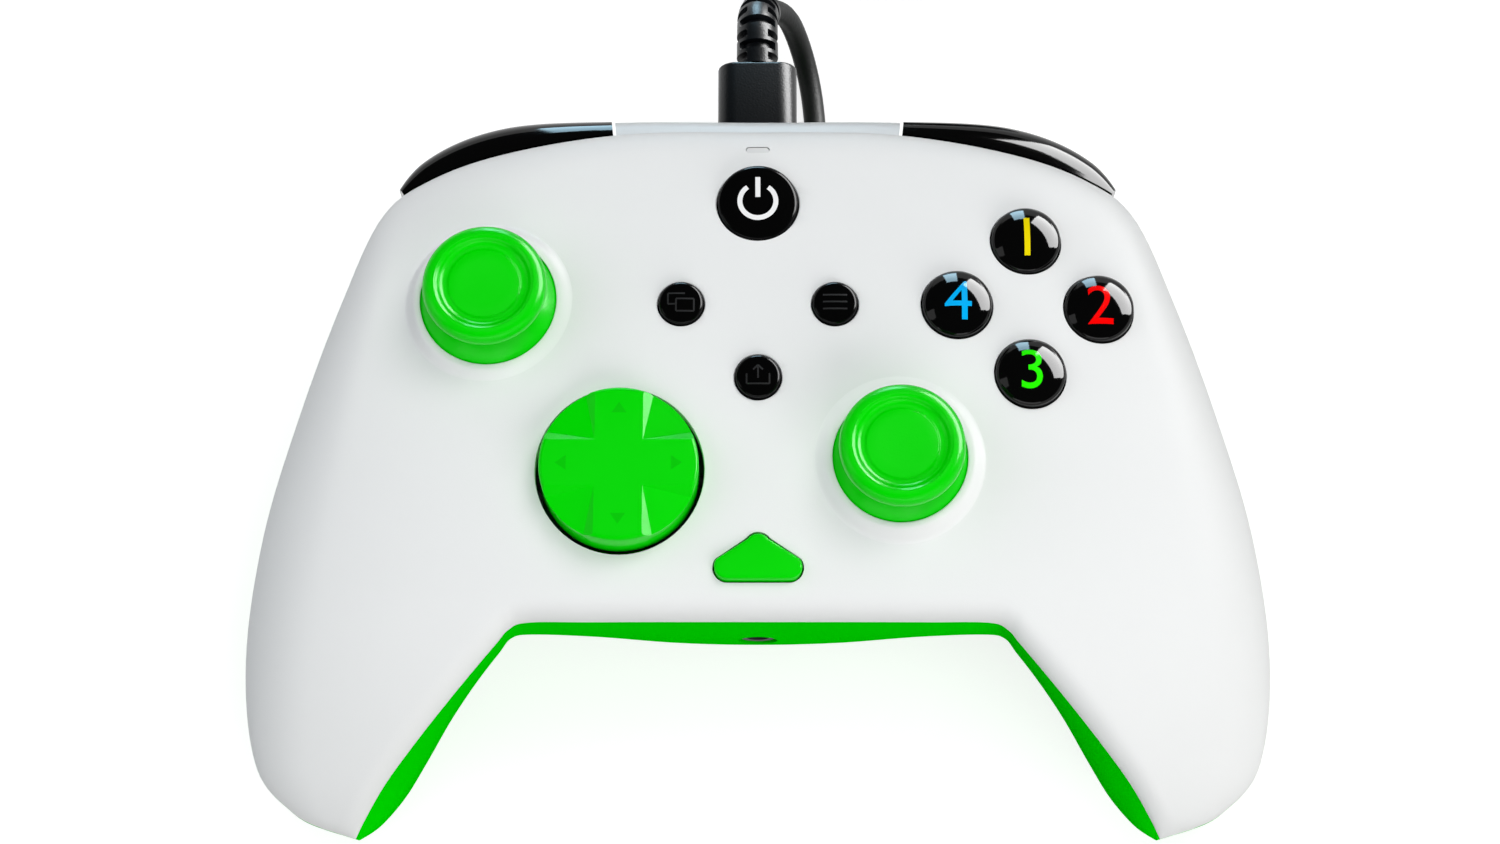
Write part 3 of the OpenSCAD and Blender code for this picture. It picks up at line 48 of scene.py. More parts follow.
bl_info = {
    "name": "Gamepad Controller",
    "version": (1, 0, 0),
    "blender": (4, 5, 0),
    "location": "3D View > Sidebar > Gamepad",
    "description": "Builds a two-tone wired gamepad over its jointed frame",
    "category": "Object",
}

# Shapes are worked out in millimetres and scaled to metres when a piece is made.
MM = 0.001
SIDES = (("left", -1), ("right", 1))


# Sizes and colours that a user would change

def length(name, words, mm):
    return bpy.props.FloatProperty(name=name, description=words, default=mm * MM, unit="LENGTH", precision=5)


def colour(name, words, rgb):
    return bpy.props.FloatVectorProperty(
        name=name, description=words, default=rgb, size=3, subtype="COLOR", min=0, max=1)


def power(name, words, watts):
    return bpy.props.FloatProperty(name=name, description=words, default=watts, unit="POWER")


class PadSizes(bpy.types.PropertyGroup):
    body_w: length("Body width", "Width over the grips", 154)
    front_edge: length("Front edge", "From the origin to the edge between the grips", 32.7)
    rear_edge: length("Rear edge", "From the origin to the rear edge of the face", 44.2)
    grip_reach: length("Grip reach", "From the origin to the grip tips", 60.5)
    waist_w: length("Waist", "Between the corners where the grips begin", 71)
    tip_w: length("Grip tips", "Between the grip tips", 124)
    face_z: length("Face height", "Height of the face at its crown", 44)
    face_crown: length("Crown", "Drop of the face to its front and rear edges", 4)
    face_side: length("Side fall", "Extra drop of the face towards its sides", 3)
    lip_h: length("Lip", "Height of the lip along the grips", 3)
    wall: length("Wall", "Thickness of the shells", 2.2)
    seam: length("Seam", "Gap between the shells", 0.2)
    sill: length("Rear sill", "Height of the lower edge of the rear opening", 24)
    cap_d: length("Stick cap", "Diameter of a thumbstick's cap", 18.2)
    cap_h: length("Cap height", "Height of a cap's underside over its pivot", 12.2)
    cap_t: length("Cap rim", "Thickness of a cap at its rim", 2.9)
    opening_d: length("Stick opening", "Diameter of the opening round a stick", 20.2)
    dpad_d: length("Pad", "Diameter of the direction pad", 23.2)
    arm_w: length("Pad arms", "Width of the pad's raised arms", 7.0)
    action_d: length("Action button", "Diameter of an action button", 10.3)
    home_d: length("Home button", "Diameter of the home button", 12.0)
    small_d: length("Small button", "Diameter of a small button", 6.6)
    button_gap: length("Button gap", "Gap round every button", 0.35)


class PadColours(bpy.types.PropertyGroup):
    face: colour("Face", "Front shell", (0.83, 0.84, 0.84))
    back: colour("Back", "Back shell", (0.0, 0.69, 0.0))
    accent: colour("Accent", "Sticks, pad and audio button", (0.0, 0.69, 0.0))
    bridge: colour("Bridge", "Piece between the bumpers", (0.68, 0.70, 0.71))
    gloss: colour("Gloss black", "Buttons, bumpers and triggers", (0.0012, 0.0012, 0.0012))
    cord: colour("Cord", "Cord and plugs", (0.006, 0.0075, 0.0065))
    north: colour("North mark", "Mark on the north button", (0.87, 0.70, 0.0))
    west: colour("West mark", "Mark on the west button", (0.0, 0.43, 0.91))
    east: colour("East mark", "Mark on the east button", (1.0, 0.0, 0.0))
    south: colour("South mark", "Mark on the south button", (0.02, 0.95, 0.0))


class PadStage(bpy.types.PropertyGroup):
    elevation: bpy.props.FloatProperty(
        name="Elevation", description="Angle of the camera over the floor", default=math.radians(72),
        subtype="ANGLE")
    distance: length("Distance", "From the camera to its target", 418.6)
    lens: bpy.props.FloatProperty(
        name="Lens", description="Focal length on a 36 mm frame", default=68.33, unit="CAMERA")
    key_power: power("Key light", "Power of the main lamp", 4.0)
    fill_power: power("Fill light", "Power that the softer lamps share out", 4.0)


# Curves through a few values

def mix(a, b, t):
    return a + (b - a) * t


def smooth(t):
    t = max(0.0, min(1.0, t))
    return t * t * (3 - 2 * t)


def curve(p0, p1, p2, p3, t):
    """A point on the smooth curve from p1 to p2."""
    return 0.5 * (2 * p1 + (p2 - p0) * t + (2 * p0 - 5 * p1 + 4 * p2 - p3) * t * t
                  + (3 * p1 - p0 - 3 * p2 + p3) * t * t * t)


def closed_curve(points, steps):
    """A smooth loop through points, with steps from each to the next."""
    pts = [Vector(p) for p in points]
    n = len(pts)
    return [curve(pts[i - 1], pts[i], pts[(i + 1) % n], pts[(i + 2) % n], j / steps)
            for i in range(n) for j in range(steps)]


def open_curve(points, steps):
    """A smooth line through points, with steps from each to the next."""
    pts = [Vector(p) for p in points]
    last = len(pts) - 1
    out = []
    for i in range(last):
        before = pts[i - 1] if i else 2 * pts[0] - pts[1]
        after = pts[i + 2] if i + 2 <= last else 2 * pts[last] - pts[last - 1]
        out += [curve(before, pts[i], pts[i + 1], after, j / steps) for j in range(steps)]
    return out + [pts[last]]


def arc(cx, cy, r, start, end, steps):
    """Points along a part of a circle, between two angles in degrees."""
    angles = [math.radians(mix(start, end, i / steps)) for i in range(steps + 1)]
    return [(cx + r * math.cos(a), cy + r * math.sin(a)) for a in angles]


# Form of the two shells

WAIST_SHARE = (0, 0.36, 0.70, 0.95, 1, 1, 1, 1, 1, 1, 1, 1)
GRIP_SHARE = (0, 0, 0, 0, 0.035, 0.10, 0.22, 0.38, 0.56, 0.75, 0.91, 1)
GRIP_X_SHARE = (0, 0, 0, 0, 0.035, 0.10, 0.22, 0.38, 0.56, 0.745, 0.875, 0.94)
OUTER_X = (0, 0.26, 0.494, 0.65, 0.747, 0.825, 0.903, 0.968, 1, 0.981, 0.91, 0.85)
OUTER_Y = (0, 0.003, 0.031, 0.069, 0.121, 0.25, 0.417, 0.584, 0.765, 0.9, 0.962, 0.985)
EDGE_DROP = (2.6, 2.6, 3, 3.6, 4.7, 6.8, 7.3, 7, 6, 4, 3, 3)
EDGE_REACH = (5, 5, 6, 8, 10, 12, 14, 14, 12, 9, 5, 1.8)
LOWER_BULGE = (0.1, 0.1, 0.5, 0.7, 0.1, 0.2, 0.55, 1.45, 2.5, 3.5, 2.9, 1)
FLOOR_Z = (-1, -1, -1, -1, -1, -1, -1, -1, -0.5, 2, 6.5, 10.5)
INNER_POWER = (0.6, 0.65, 0.85, 0.95, 1, 1, 1, 1, 0.95, 0.95, 1, 1)
OUTER_POWER = (1.6, 1.6, 1.6, 1.5, 1.2, 1, 0.9, 0.85, 0.85, 0.9, 1, 1)
SILL_SHARE = (1, 1, 1, 0.9, 0.35, 0, 0, 0, 0, 0, 0, 0)
LAST_RIB = 11
TIP_RIBS = 2
INNER_TIP = LAST_RIB - 0.8
SIDE_INSET = 22
GRIP_FALL = 0.009
GRIP_FALL_FROM = 25
BACK_ROUNDING = 1.4

# Heights and gaps that several pieces share
BOARD_TOP = 30.6
PIVOT_Z = BOARD_TOP + 5.9
RING_D = 23.0
RING_OVER = 0.9
RING_GAP = 0.1
DPAD_GAP = 0.75


def rib_value(values, s, side=1):
    """A rib table read at s; side is -1 where the value changes sign across the middle."""
    a = min(abs(s), LAST_RIB)
    k = min(int(a), LAST_RIB - 1)
    before = side * values[1] if k == 0 else values[k - 1]
    return curve(before, values[k], values[k + 1], values[min(k + 2, LAST_RIB)], a - k)


def edge_fall(u):
    """Share of an edge's drop at share u of its reach: a quarter circle."""
    return 0.0 if u >= 1 else 1 - math.sqrt(1 - (1 - max(u, 0)) ** 2)


def tip_close(s, tip):
    """1 along a grip, falling to 0 at its tip."""
    return math.sqrt(max(0.0, 1 - (1 - min(1, (tip - abs(s)) / TIP_RIBS)) ** 2))


class ShellForm:
    """Outlines and heights of the shells in millimetres, from the sizes in the panel."""

    def __init__(self, sizes):
        for name in PadSizes.__annotations__:
            setattr(self, name, getattr(sizes, name) / MM)
        self.crown_y = (self.rear_edge - self.front_edge) / 2
        self.crown_half = (self.rear_edge + self.front_edge) / 2
        self.side_ref = self.body_w / 2 - SIDE_INSET

    def face(self, x, y):
        """Height of the face: a crown from front to rear, falling to the sides and along the grips."""
        return (self.face_z - self.face_crown * ((y - self.crown_y) / self.crown_half) ** 2
                - self.face_side * (abs(x) / self.side_ref) ** 4
                - GRIP_FALL * max(0, -y - GRIP_FALL_FROM) ** 2)

    def slope(self, x, y):
        """Rise of the face per millimetre along X and Y."""
        return (self.face(x + 0.5, y) - self.face(x - 0.5, y), self.face(x, y + 0.5) - self.face(x, y - 0.5))

    def skirt_room(self, at):
        """Radius of the ball round a stick's pivot that the skirt turns in."""
        return math.hypot(self.opening_d / 2, self.face(*at["right_stick"]) + RING_OVER - PIVOT_Z)

    def inner(self, s):
        """Place of rib s on the front edge and along the grips' inner side."""
        g = rib_value(GRIP_SHARE, s)
        waist = self.waist_w / 2 * rib_value(WAIST_SHARE, s, -1)
        x = mix(waist, self.tip_w / 2, rib_value(GRIP_X_SHARE, s))
        return Vector((math.copysign(x, s), -mix(self.front_edge, self.grip_reach, g)))

    def outer(self, s):
        """Place of rib s on the rear edge and along the grips' outer side."""
        x = self.body_w / 2 * rib_value(OUTER_X, s, -1)
        y = self.rear_edge - rib_value(OUTER_Y, s) * (self.rear_edge + self.grip_reach)
        return Vector((math.copysign(x, s), y))

    def parting_in(self, s):
        return self.face(*self.inner(s)) - self.lip_h

    def parting_out(self, s):
        return self.face(*self.outer(s)) - rib_value(EDGE_DROP, s)

    def sill_at(self, s):
        return mix(self.parting_out(s) - self.seam, self.sill, rib_value(SILL_SHARE, s))

    def front_point(self, s, w, inset, tip):
        """A point of the front shell: rib s, share w of the way from the inner to the outer edge."""
        a, b = self.inner(s), self.outer(s)
        far = (b - a).length
        run = far - 2 * inset
        p = a + (b - a) / far * (inset + w * run)
        low = mix(self.parting_in(s), self.parting_out(s), w)
        in_fall = (self.lip_h - inset) * edge_fall(w * run / self.lip_h)
        out_fall = (rib_value(EDGE_DROP, s) - inset) * edge_fall((1 - w) * run / rib_value(EDGE_REACH, s))
        high = self.face(*p) - inset - in_fall - out_fall
        return (p.x, p.y, mix(low, max(low, high), tip_close(s, tip)))

    def back_point(self, s, q, inset, tip):
        """A point of the back shell: rib s, share q of the way round under it."""
        a, b = self.inner(s), self.outer(s)
        far = (b - a).length
        inside = q < 0.5
        turn = math.radians(90) * (2 * q if inside else 2 - 2 * q) ** BACK_ROUNDING
        bow = rib_value(INNER_POWER if inside else OUTER_POWER, s)
        out = (far / 2 - inset) * max(0.0, math.cos(turn)) ** bow
        if inside:
            out += rib_value(LOWER_BULGE, s) * math.sin(2 * turn)
        top = self.parting_in(s) - self.seam if inside else self.sill_at(s)
        deep = max(inset, mix(top, rib_value(FLOOR_Z, s) + inset, math.sin(turn) ** bow))
        along = far / 2 - out if inside else far / 2 + out
        p = a + (b - a) / far * along
        low = mix(self.parting_in(s) - self.seam, self.sill_at(s), max(0.0, min(1.0, along / far)))
        return (p.x, p.y, mix(low, deep, tip_close(s, tip)))


# Building blocks for meshes

WELD = 1e-5


def placed_grid(bm, cols, rows, place):
    """A grid of quads whose points go where place(u, v) says, both from 0 to 1."""
    made = bmesh.ops.create_grid(bm, x_segments=cols, y_segments=rows, size=1)["verts"]
    for v in made:
        v.co = place((v.co.x + 1) / 2, (v.co.y + 1) / 2)
    return made


def loft(bm, rings, close_ends=True):
    """A skin over closed rings of points, with its ends filled."""
    n, last = len(rings[0]), len(rings) - 1
    made = placed_grid(bm, n, last, lambda u, v: rings[round(v * last)][round(u * n) % n])
    bmesh.ops.remove_doubles(bm, verts=made, dist=WELD)
    if close_ends:
        rims = [e for e in bm.edges if e.is_boundary]
        bmesh.ops.holes_fill(bm, edges=rims, sides=0)


def lathe(bm, profile, centre=(0, 0, 0), steps=96):
    """A solid turned about the upright line through centre; the profile holds (radius, height) pairs."""
    made = [bm.verts.new((centre[0] + r, centre[1], centre[2] + z)) for r, z in profile]
    line = [bm.edges.new(pair) for pair in zip(made, made[1:])]
    bmesh.ops.spin(
        bm, geom=made + line, cent=centre, axis=(0, 0, 1), angle=math.tau, steps=steps, use_merge=True)
    bmesh.ops.remove_doubles(bm, verts=list({v for f in bm.faces for v in f.verts}), dist=WELD)


def prism(bm, outline, low, high):
    """An upright block over a flat outline."""
    base = bm.faces.new([bm.verts.new((x, y, low)) for x, y in outline])
    raised = bmesh.ops.extrude_face_region(bm, geom=[base])["geom"]
    lift(bm, raised, high - low)


def lift(bm, geometry, height):
    """Moves the points among some geometry up."""
    points = [g for g in geometry if isinstance(g, bmesh.types.BMVert)]
    bmesh.ops.translate(bm, verts=points, vec=(0, 0, height))


def block(bm, size, place):
    """A box with its middle at a place."""
    made = bmesh.ops.create_cube(bm, size=1)["verts"]
    bmesh.ops.scale(bm, vec=size, verts=made)
    bmesh.ops.translate(bm, vec=place, verts=made)


def rod(bm, r, depth, place, steps, lying=False):
    """A round bar with its middle at a place, upright or lying along Y."""
    made = bmesh.ops.create_cone(
        bm, cap_ends=True, segments=steps, radius1=r, radius2=r, depth=depth)["verts"]
    if lying:
        turned(bm, "X", 90, made)
    bmesh.ops.translate(bm, vec=place, verts=made)


def turned(bm, axis, angle, verts=None):
    """Turns points about an axis through the origin."""
    turn = Matrix.Rotation(math.radians(angle), 3, axis)
    bmesh.ops.rotate(bm, verts=verts or bm.verts, cent=(0, 0, 0), matrix=turn)


def flipped(bm):
    """Mirrors all points from right to left."""
    bmesh.ops.scale(bm, vec=(-1, 1, 1), verts=bm.verts)


def add_mesh(bm, other):
    """Puts another bmesh beside what bm holds."""
    mesh = bpy.data.meshes.new("part")
    other.to_mesh(mesh)
    other.free()
    bm.from_mesh(mesh)
    bpy.data.meshes.remove(mesh)


def rounded_edges(bm, width, steps=3, least=40, pick=None):
    """Rounds the edges sharper than least degrees."""
    bm.normal_update()
    edges = [e for e in bm.edges if is_sharp(e, least) and (pick is None or pick(e))]
    bmesh.ops.bevel(bm, geom=edges, offset=width, offset_type="OFFSET", affect="EDGES", segments=steps,
                    profile=0.5, material=-1, clamp_overlap=True)


def is_sharp(edge, least):
    """True for an edge whose two faces meet at more than least degrees."""
    return len(edge.link_faces) == 2 and edge.calc_face_angle(0) > math.radians(least)


def outward(bm):
    """Joins points that meet and turns the faces outward."""
    bmesh.ops.remove_doubles(bm, verts=bm.verts, dist=WELD)
    bmesh.ops.recalc_face_normals(bm, faces=bm.faces)


def cut_by(bm, tool):
    """bm with the solids in tool cut from it."""
    objects = []
    for part in (bm, tool):
        mesh = bpy.data.meshes.new("cutting")
        part.to_mesh(mesh)
        part.free()
        objects.append(bpy.data.objects.new("cutting", mesh))
        bpy.context.collection.objects.link(objects[-1])
    cut = objects[0].modifiers.new("cut", "BOOLEAN")
    cut.object, cut.operation, cut.solver = objects[1], "DIFFERENCE", "EXACT"
    result = bmesh.new()
    result.from_object(objects[0], bpy.context.evaluated_depsgraph_get())
    for o in objects:
        mesh = o.data
        bpy.data.objects.remove(o)
        bpy.data.meshes.remove(mesh)
    if not result.faces:
        raise RuntimeError("a cut left nothing of the piece")
    return result


def piece(name, bm, body, material, replaces=(), sharp=35):
    """Makes a bmesh in millimetres a finished piece that rides on a body."""
    bmesh.ops.scale(bm, vec=(MM, MM, MM), verts=bm.verts)
    for f in bm.faces:
        f.smooth = True
    for e in bm.edges:
        if is_sharp(e, sharp):
            e.smooth = False
    mesh = bpy.data.meshes.new(name)
    bm.to_mesh(mesh)
    bm.free()
    mesh.materials.append(material)
    obj = bpy.data.objects.new(name, mesh)
    bpy.context.collection.objects.link(obj)
    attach(obj, body)
    if replaces:
        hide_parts(*replaces)
    return obj


# Shader values as plain sums

class Field:
    """A shader socket that can be added to, taken away and scaled."""

    def __init__(self, tree, socket):
        self.tree, self.socket = tree, socket

    def make(self, kind, settings=None, out=0, **inputs):
        """A new node's output; an input is named, or counted as i0, i1 and so on."""
        node = self.tree.nodes.new(kind)
        for key, value in (settings or {}).items():
            setattr(node, key, value)
        for key, value in inputs.items():
            target = node.inputs[int(key[1:]) if key[1:].isdigit() else key]
            if isinstance(value, Field):
                self.tree.links.new(value.socket, target)
            else:
                target.default_value = value
        return Field(self.tree, node.outputs[out])

    def sum(self, operation, a, b):
        return self.make("ShaderNodeMath", {"operation": operation}, i0=a, i1=b)

    def __add__(self, other):
        return self.sum("ADD", self, other)

    def __rsub__(self, other):
        return self.sum("SUBTRACT", other, self)

    def __mul__(self, other):
        return self.sum("MULTIPLY", self, other)

    def blend(self, first, second):
        """Two colours mixed by this value."""
        return self.make("ShaderNodeMix", {"data_type": "RGBA"}, out=2, Factor=self, i6=first, i7=second)


CLOUD_GLOSS, PORE_GLOSS, EVEN_GLOSS = 0.16, 0.24, 0.8
SPECK_DARK = 0.55
BUMP_STRENGTH = 10
BUMP_DISTANCE = 0.0001


def tone(rgb, factor=1.0):
    """A colour made lighter or darker, with full alpha."""
    return tuple(min(1.0, c * factor) for c in rgb[:3]) + (1.0,)


def finish(name, rgb, rough=0.4, shade=0.06, cloud=60.0, grain=4200.0, depth=0.02, metallic=0.0, level=0.5,
           stretch=None, speck=0.0):
    """A moulded, rubbed or plated surface: cloudy colour, fine grain in its gloss and relief."""
    material = bpy.data.materials.new(name)
    material.use_nodes = True
    tree = material.node_tree
    shader = tree.nodes["Principled BSDF"]
    place = Field(tree, tree.nodes.new("ShaderNodeTexCoord").outputs["Object"])
    if stretch:
        place = place.make("ShaderNodeMapping", Vector=place, Scale=stretch)
    clouds = place.make("ShaderNodeTexNoise", Vector=place, Scale=cloud, Detail=3.0)
    pores = place.make("ShaderNodeTexNoise", Vector=place, Scale=grain, Detail=2.0)
    base = clouds.blend(tone(rgb, 1 - shade), tone(rgb, 1 + shade))
    if speck:
        base = (pores * speck).blend(base, tone(rgb, SPECK_DARK))
    gloss = clouds * (CLOUD_GLOSS * rough) + pores * (PORE_GLOSS * rough) + EVEN_GLOSS * rough
    relief = place.make(
        "ShaderNodeBump", Strength=depth * BUMP_STRENGTH, Distance=BUMP_DISTANCE, Height=pores)
    for value, target in ((base, "Base Color"), (gloss, "Roughness"), (relief, "Normal")):
        tree.links.new(value.socket, shader.inputs[target])
    shader.inputs["Metallic"].default_value = metallic
    shader.inputs["Specular IOR Level"].default_value = level
    return material


def finishes():
    """Every finish of the pad, made once."""
    c = bpy.context.scene.pad_colours
    table = {
        "face": dict(rgb=c.face, rough=0.45, shade=0.012, grain=5200, depth=0.012, level=0.04),
        "face_ring": dict(rgb=tone(c.face, 1.04), rough=0.36, shade=0.01, depth=0.008, level=0.06),
        "back": dict(rgb=c.back, rough=0.5, shade=0.03, grain=5200, depth=0.015, level=0.0),
        "bridge": dict(rgb=c.bridge, rough=0.4, shade=0.015, depth=0.012, level=0.1),
        "cap": dict(rgb=c.accent, rough=0.22, shade=0.03, grain=3600, depth=0.02, level=0.13),
        "accent": dict(rgb=c.accent, rough=0.18, shade=0.02, depth=0.006, level=0.08),
        "gloss": dict(rgb=c.gloss, rough=0.06, shade=0.2, depth=0.002, level=0.2),
        "button_black": dict(rgb=c.gloss, rough=0.14, shade=0.2, depth=0.004, level=0.1),
        "satin_black": dict(rgb=(0.006, 0.006, 0.0065), rough=0.24, shade=0.15, depth=0.01, level=0.16),
        "engraved": dict(rgb=(0.012, 0.0123, 0.0126), rough=0.5, shade=0.1, depth=0.02, level=0.1),
        "dark_plastic": dict(rgb=(0.03, 0.03, 0.034), rough=0.5, shade=0.1, depth=0.03),
        "cord": dict(rgb=c.cord, rough=0.5, shade=0.15, grain=2600, depth=0.05, level=0.2),
        "plug": dict(rgb=(0.0022, 0.003, 0.004), rough=0.32, shade=0.12, grain=3000, depth=0.03, level=0.26),
        "rubber": dict(rgb=(0.10, 0.105, 0.11), rough=0.7, shade=0.1, depth=0.05),
        "board": dict(rgb=(0.02, 0.16, 0.06), rough=0.35, shade=0.25, cloud=400, depth=0.03, speck=0.4),
        "steel": dict(rgb=(0.62, 0.62, 0.64), rough=0.28, shade=0.05, metallic=1.0, depth=0.03,
                      stretch=(1, 1, 6)),
        "brass": dict(rgb=(0.62, 0.45, 0.18), rough=0.3, shade=0.08, metallic=1.0, depth=0.03),
        "frosted": dict(rgb=(0.72, 0.73, 0.73), rough=0.35, shade=0.03, depth=0.02, level=0.1),
        "strap": dict(rgb=(0.014, 0.014, 0.015), rough=0.8, shade=0.3, grain=1500, depth=0.2),
        "white_mark": dict(rgb=(0.88, 0.88, 0.88), rough=0.1, shade=0.01, depth=0.002, level=0.2),
        "accent_mark": dict(rgb=tone(c.accent, 0.84), rough=0.4, shade=0.02, depth=0.01, level=0.03),
    }
    for side in ("north", "west", "east", "south"):
        table[side + "_mark"] = dict(rgb=getattr(c, side), rough=0.1, shade=0.01, depth=0.002, level=0.2)
    return {name: bpy.data.materials.get(name) or finish(name, **values) for name, values in table.items()}


# Places on the face, in millimetres

STICK_INSET, STICK_Y = 37, 14.6
CLUSTER_INSET, CLUSTER_Y = 36.9, 13.8
ACTION_PITCH = 10.6
COMPASS = {"north": (0, 1), "east": (1, 0), "south": (0, -1), "west": (-1, 0)}
STICKS = ("left_stick", "right_stick")
SMALL_BUTTONS = ("view", "menu", "share")


def places(form):
    """Middle of each control, by name."""
    half = form.body_w / 2
    middle = half - CLUSTER_INSET
    spots = {
        "left_stick": (STICK_INSET - half, STICK_Y), "right_stick": (20.7, -9.9), "dpad": (-20.2, -11.6),
        "home": (0.0, 30.5), "view": (-11.4, 13.9), "menu": (11.4, 13.9), "share": (0.0, 2.4),
        "audio": (0.0, -24.3), "light": (0.0, 39.8),
    }
    for name, (x, y) in COMPASS.items():
        spots[name] = (middle + x * ACTION_PITCH, CLUSTER_Y + y * ACTION_PITCH)
    return spots


def form_and_finishes():
    """The shells' form, the controls' places and the finishes, as most steps need them."""
    form = ShellForm(bpy.context.scene.pad_sizes)
    return form, places(form), finishes()


# Camera, light and floor

CAMERA_TARGET = Vector((-1.18, -3.69, 41.4))
SENSOR_W = 36
NEAR, FAR = 0.01, 50
SKY = (0.93, 0.96, 1.0, 1)
SKY_LIGHT, SKY_MIRRORED = 0.24, 0.05
COOL, WARM, PLAIN = (0.95, 0.98, 1.0), (1.0, 0.985, 0.96), (1.0, 1.0, 1.0)
# Lamps that light the pad but don't show in it: name, place, size, which power and its share, tint
SOFT_LAMPS = (
    ("key", (0.44, 0.42, 0.90), (0.5, 0.5), "key_power", 1.0, WARM),
    ("front", (0.50, -0.84, 0.42), (1.0, 0.6), "fill_power", 1.65, WARM),
    ("side", (-0.85, 0.05, 0.60), (0.8, 0.8), "fill_power", 0.6, COOL),
    ("top", (0.0, 0.10, 1.20), (0.9, 0.9), "fill_power", 0.9, COOL))
# Lamps that only show as highlights: name, place, size, watts, tint
GLINTS = (
    ("window", (0.837, 0.642, 0.459), (1.30, 0.68), 78.0, PLAIN),
    ("left_card", (-0.866, -0.122, 0.485), (0.35, 0.5), 0.8, PLAIN),
    ("rear_card", (-0.041, 0.777, 0.190), (0.24, 0.36), 5.4, (0.52, 0.82, 1.0)),
    ("bench", (-0.15, -0.93, 0.30), (1.4, 0.25), 2.5, PLAIN))
FLOOR_R, WALL_H = 3.0, 0.7
FLOOR_TONES = ((0.40, 0.40, 0.40, 1), (0.42, 0.42, 0.42, 1))
FLOOR_GLOW, WALL_GLOW = 0.78, 0.97


class PAD_OT_stage(bpy.types.Operator):
    """Camera at the pad's viewing angle, soft lamps, a pale floor and a backdrop"""
    bl_idname = "pad.stage"
    bl_label = "Stage"

    def execute(self, context):
        stage = context.scene.pad_stage
        self.camera(context, stage)
        context.scene.view_settings.view_transform = "Standard"
        self.sky(context)
        for name, place, size, source, share, tint in SOFT_LAMPS:
            watts = share * getattr(stage, source)
            self.lamp(context, name, place, size, watts, tint).visible_glossy = False
        for lamp in GLINTS:
            self.lamp(context, *lamp).visible_diffuse = False
        self.floor(context)
        return {"FINISHED"}

    def camera(self, context, stage):
        tilt = math.pi / 2 - stage.elevation
        data = bpy.data.cameras.new("view")
        data.sensor_fit, data.sensor_width, data.lens = "HORIZONTAL", SENSOR_W, stage.lens
        data.clip_start, data.clip_end = NEAR, FAR
        camera = bpy.data.objects.new("view", data)
        camera.location = CAMERA_TARGET * MM + Vector((0, -math.sin(tilt), math.cos(tilt))) * stage.distance
        camera.rotation_euler = (tilt, 0, 0)
        context.collection.objects.link(camera)
        context.scene.camera = camera

    def sky(self, context):
        """A pale room light that mirrors see dimmed, so that black gloss stays black."""
        world = bpy.data.worlds.new("studio")
        world.use_nodes = True
        tree = world.node_tree
        background = tree.nodes["Background"]
        background.inputs["Color"].default_value = SKY
        mirrored = Field(tree, tree.nodes.new("ShaderNodeLightPath").outputs["Is Glossy Ray"])
        strength = SKY_LIGHT - mirrored * (SKY_LIGHT - SKY_MIRRORED)
        tree.links.new(strength.socket, background.inputs["Strength"])
        context.scene.world = world

    def floor(self, context):
        """A round floor with a low wall at its rim."""
        bm = bmesh.new()
        bmesh.ops.create_circle(bm, cap_ends=True, radius=FLOOR_R, segments=96)
        rim = [e for e in bm.edges if e.is_boundary]
        lift(bm, bmesh.ops.extrude_edge_only(bm, edges=rim)["geom"], WALL_H)
        mesh = bpy.data.meshes.new("floor")
        bm.to_mesh(mesh)
        bm.free()
        mesh.materials.append(self.pale())
        ground = bpy.data.objects.new("floor", mesh)
        context.collection.objects.link(ground)

    def lamp(self, context, name, place, size, watts, tint):
        """A rectangular lamp that faces the pad."""
        data = bpy.data.lights.new(name, "AREA")
        data.shape, data.size, data.size_y, data.energy, data.color = "RECTANGLE", *size, watts, tint
        lamp = bpy.data.objects.new(name, data)
        lamp.location = place
        lamp.rotation_euler = (-Vector(place)).to_track_quat("-Z", "Y").to_euler()
        context.collection.objects.link(lamp)
        return lamp

    def pale(self):
        """Matt white that the camera and mirrors see as white, with the shadow left in."""
        material = bpy.data.materials.new("floor")
        material.use_nodes = True
        tree = material.node_tree
        shader = tree.nodes["Principled BSDF"]
        shader.inputs["Roughness"].default_value = 0.9
        shader.inputs["Specular IOR Level"].default_value = 0.0
        path = tree.nodes.new("ShaderNodeLightPath").outputs
        seen = Field(tree, path["Is Camera Ray"])
        seen = seen + Field(tree, path["Is Glossy Ray"]) + Field(tree, path["Is Transmission Ray"])
        place = Field(tree, tree.nodes.new("ShaderNodeTexCoord").outputs["Object"])
        clouds = place.make("ShaderNodeTexNoise", Vector=place, Scale=3.0)
        tree.links.new(clouds.blend(*FLOOR_TONES).socket, shader.inputs["Base Color"])
        height = place.make("ShaderNodeSeparateXYZ", out=2, Vector=place)
        level = seen.sum("MINIMUM", height + FLOOR_GLOW, WALL_GLOW)
        glow = seen.make("ShaderNodeEmission", Color=(1, 1, 1, 1), Strength=seen * level)
        both = seen.make("ShaderNodeAddShader")
        tree.links.new(shader.outputs["BSDF"], both.socket.node.inputs[0])
        tree.links.new(glow.socket, both.socket.node.inputs[1])
        tree.links.new(both.socket, tree.nodes["Material Output"].inputs["Surface"])
        return material


# Cable

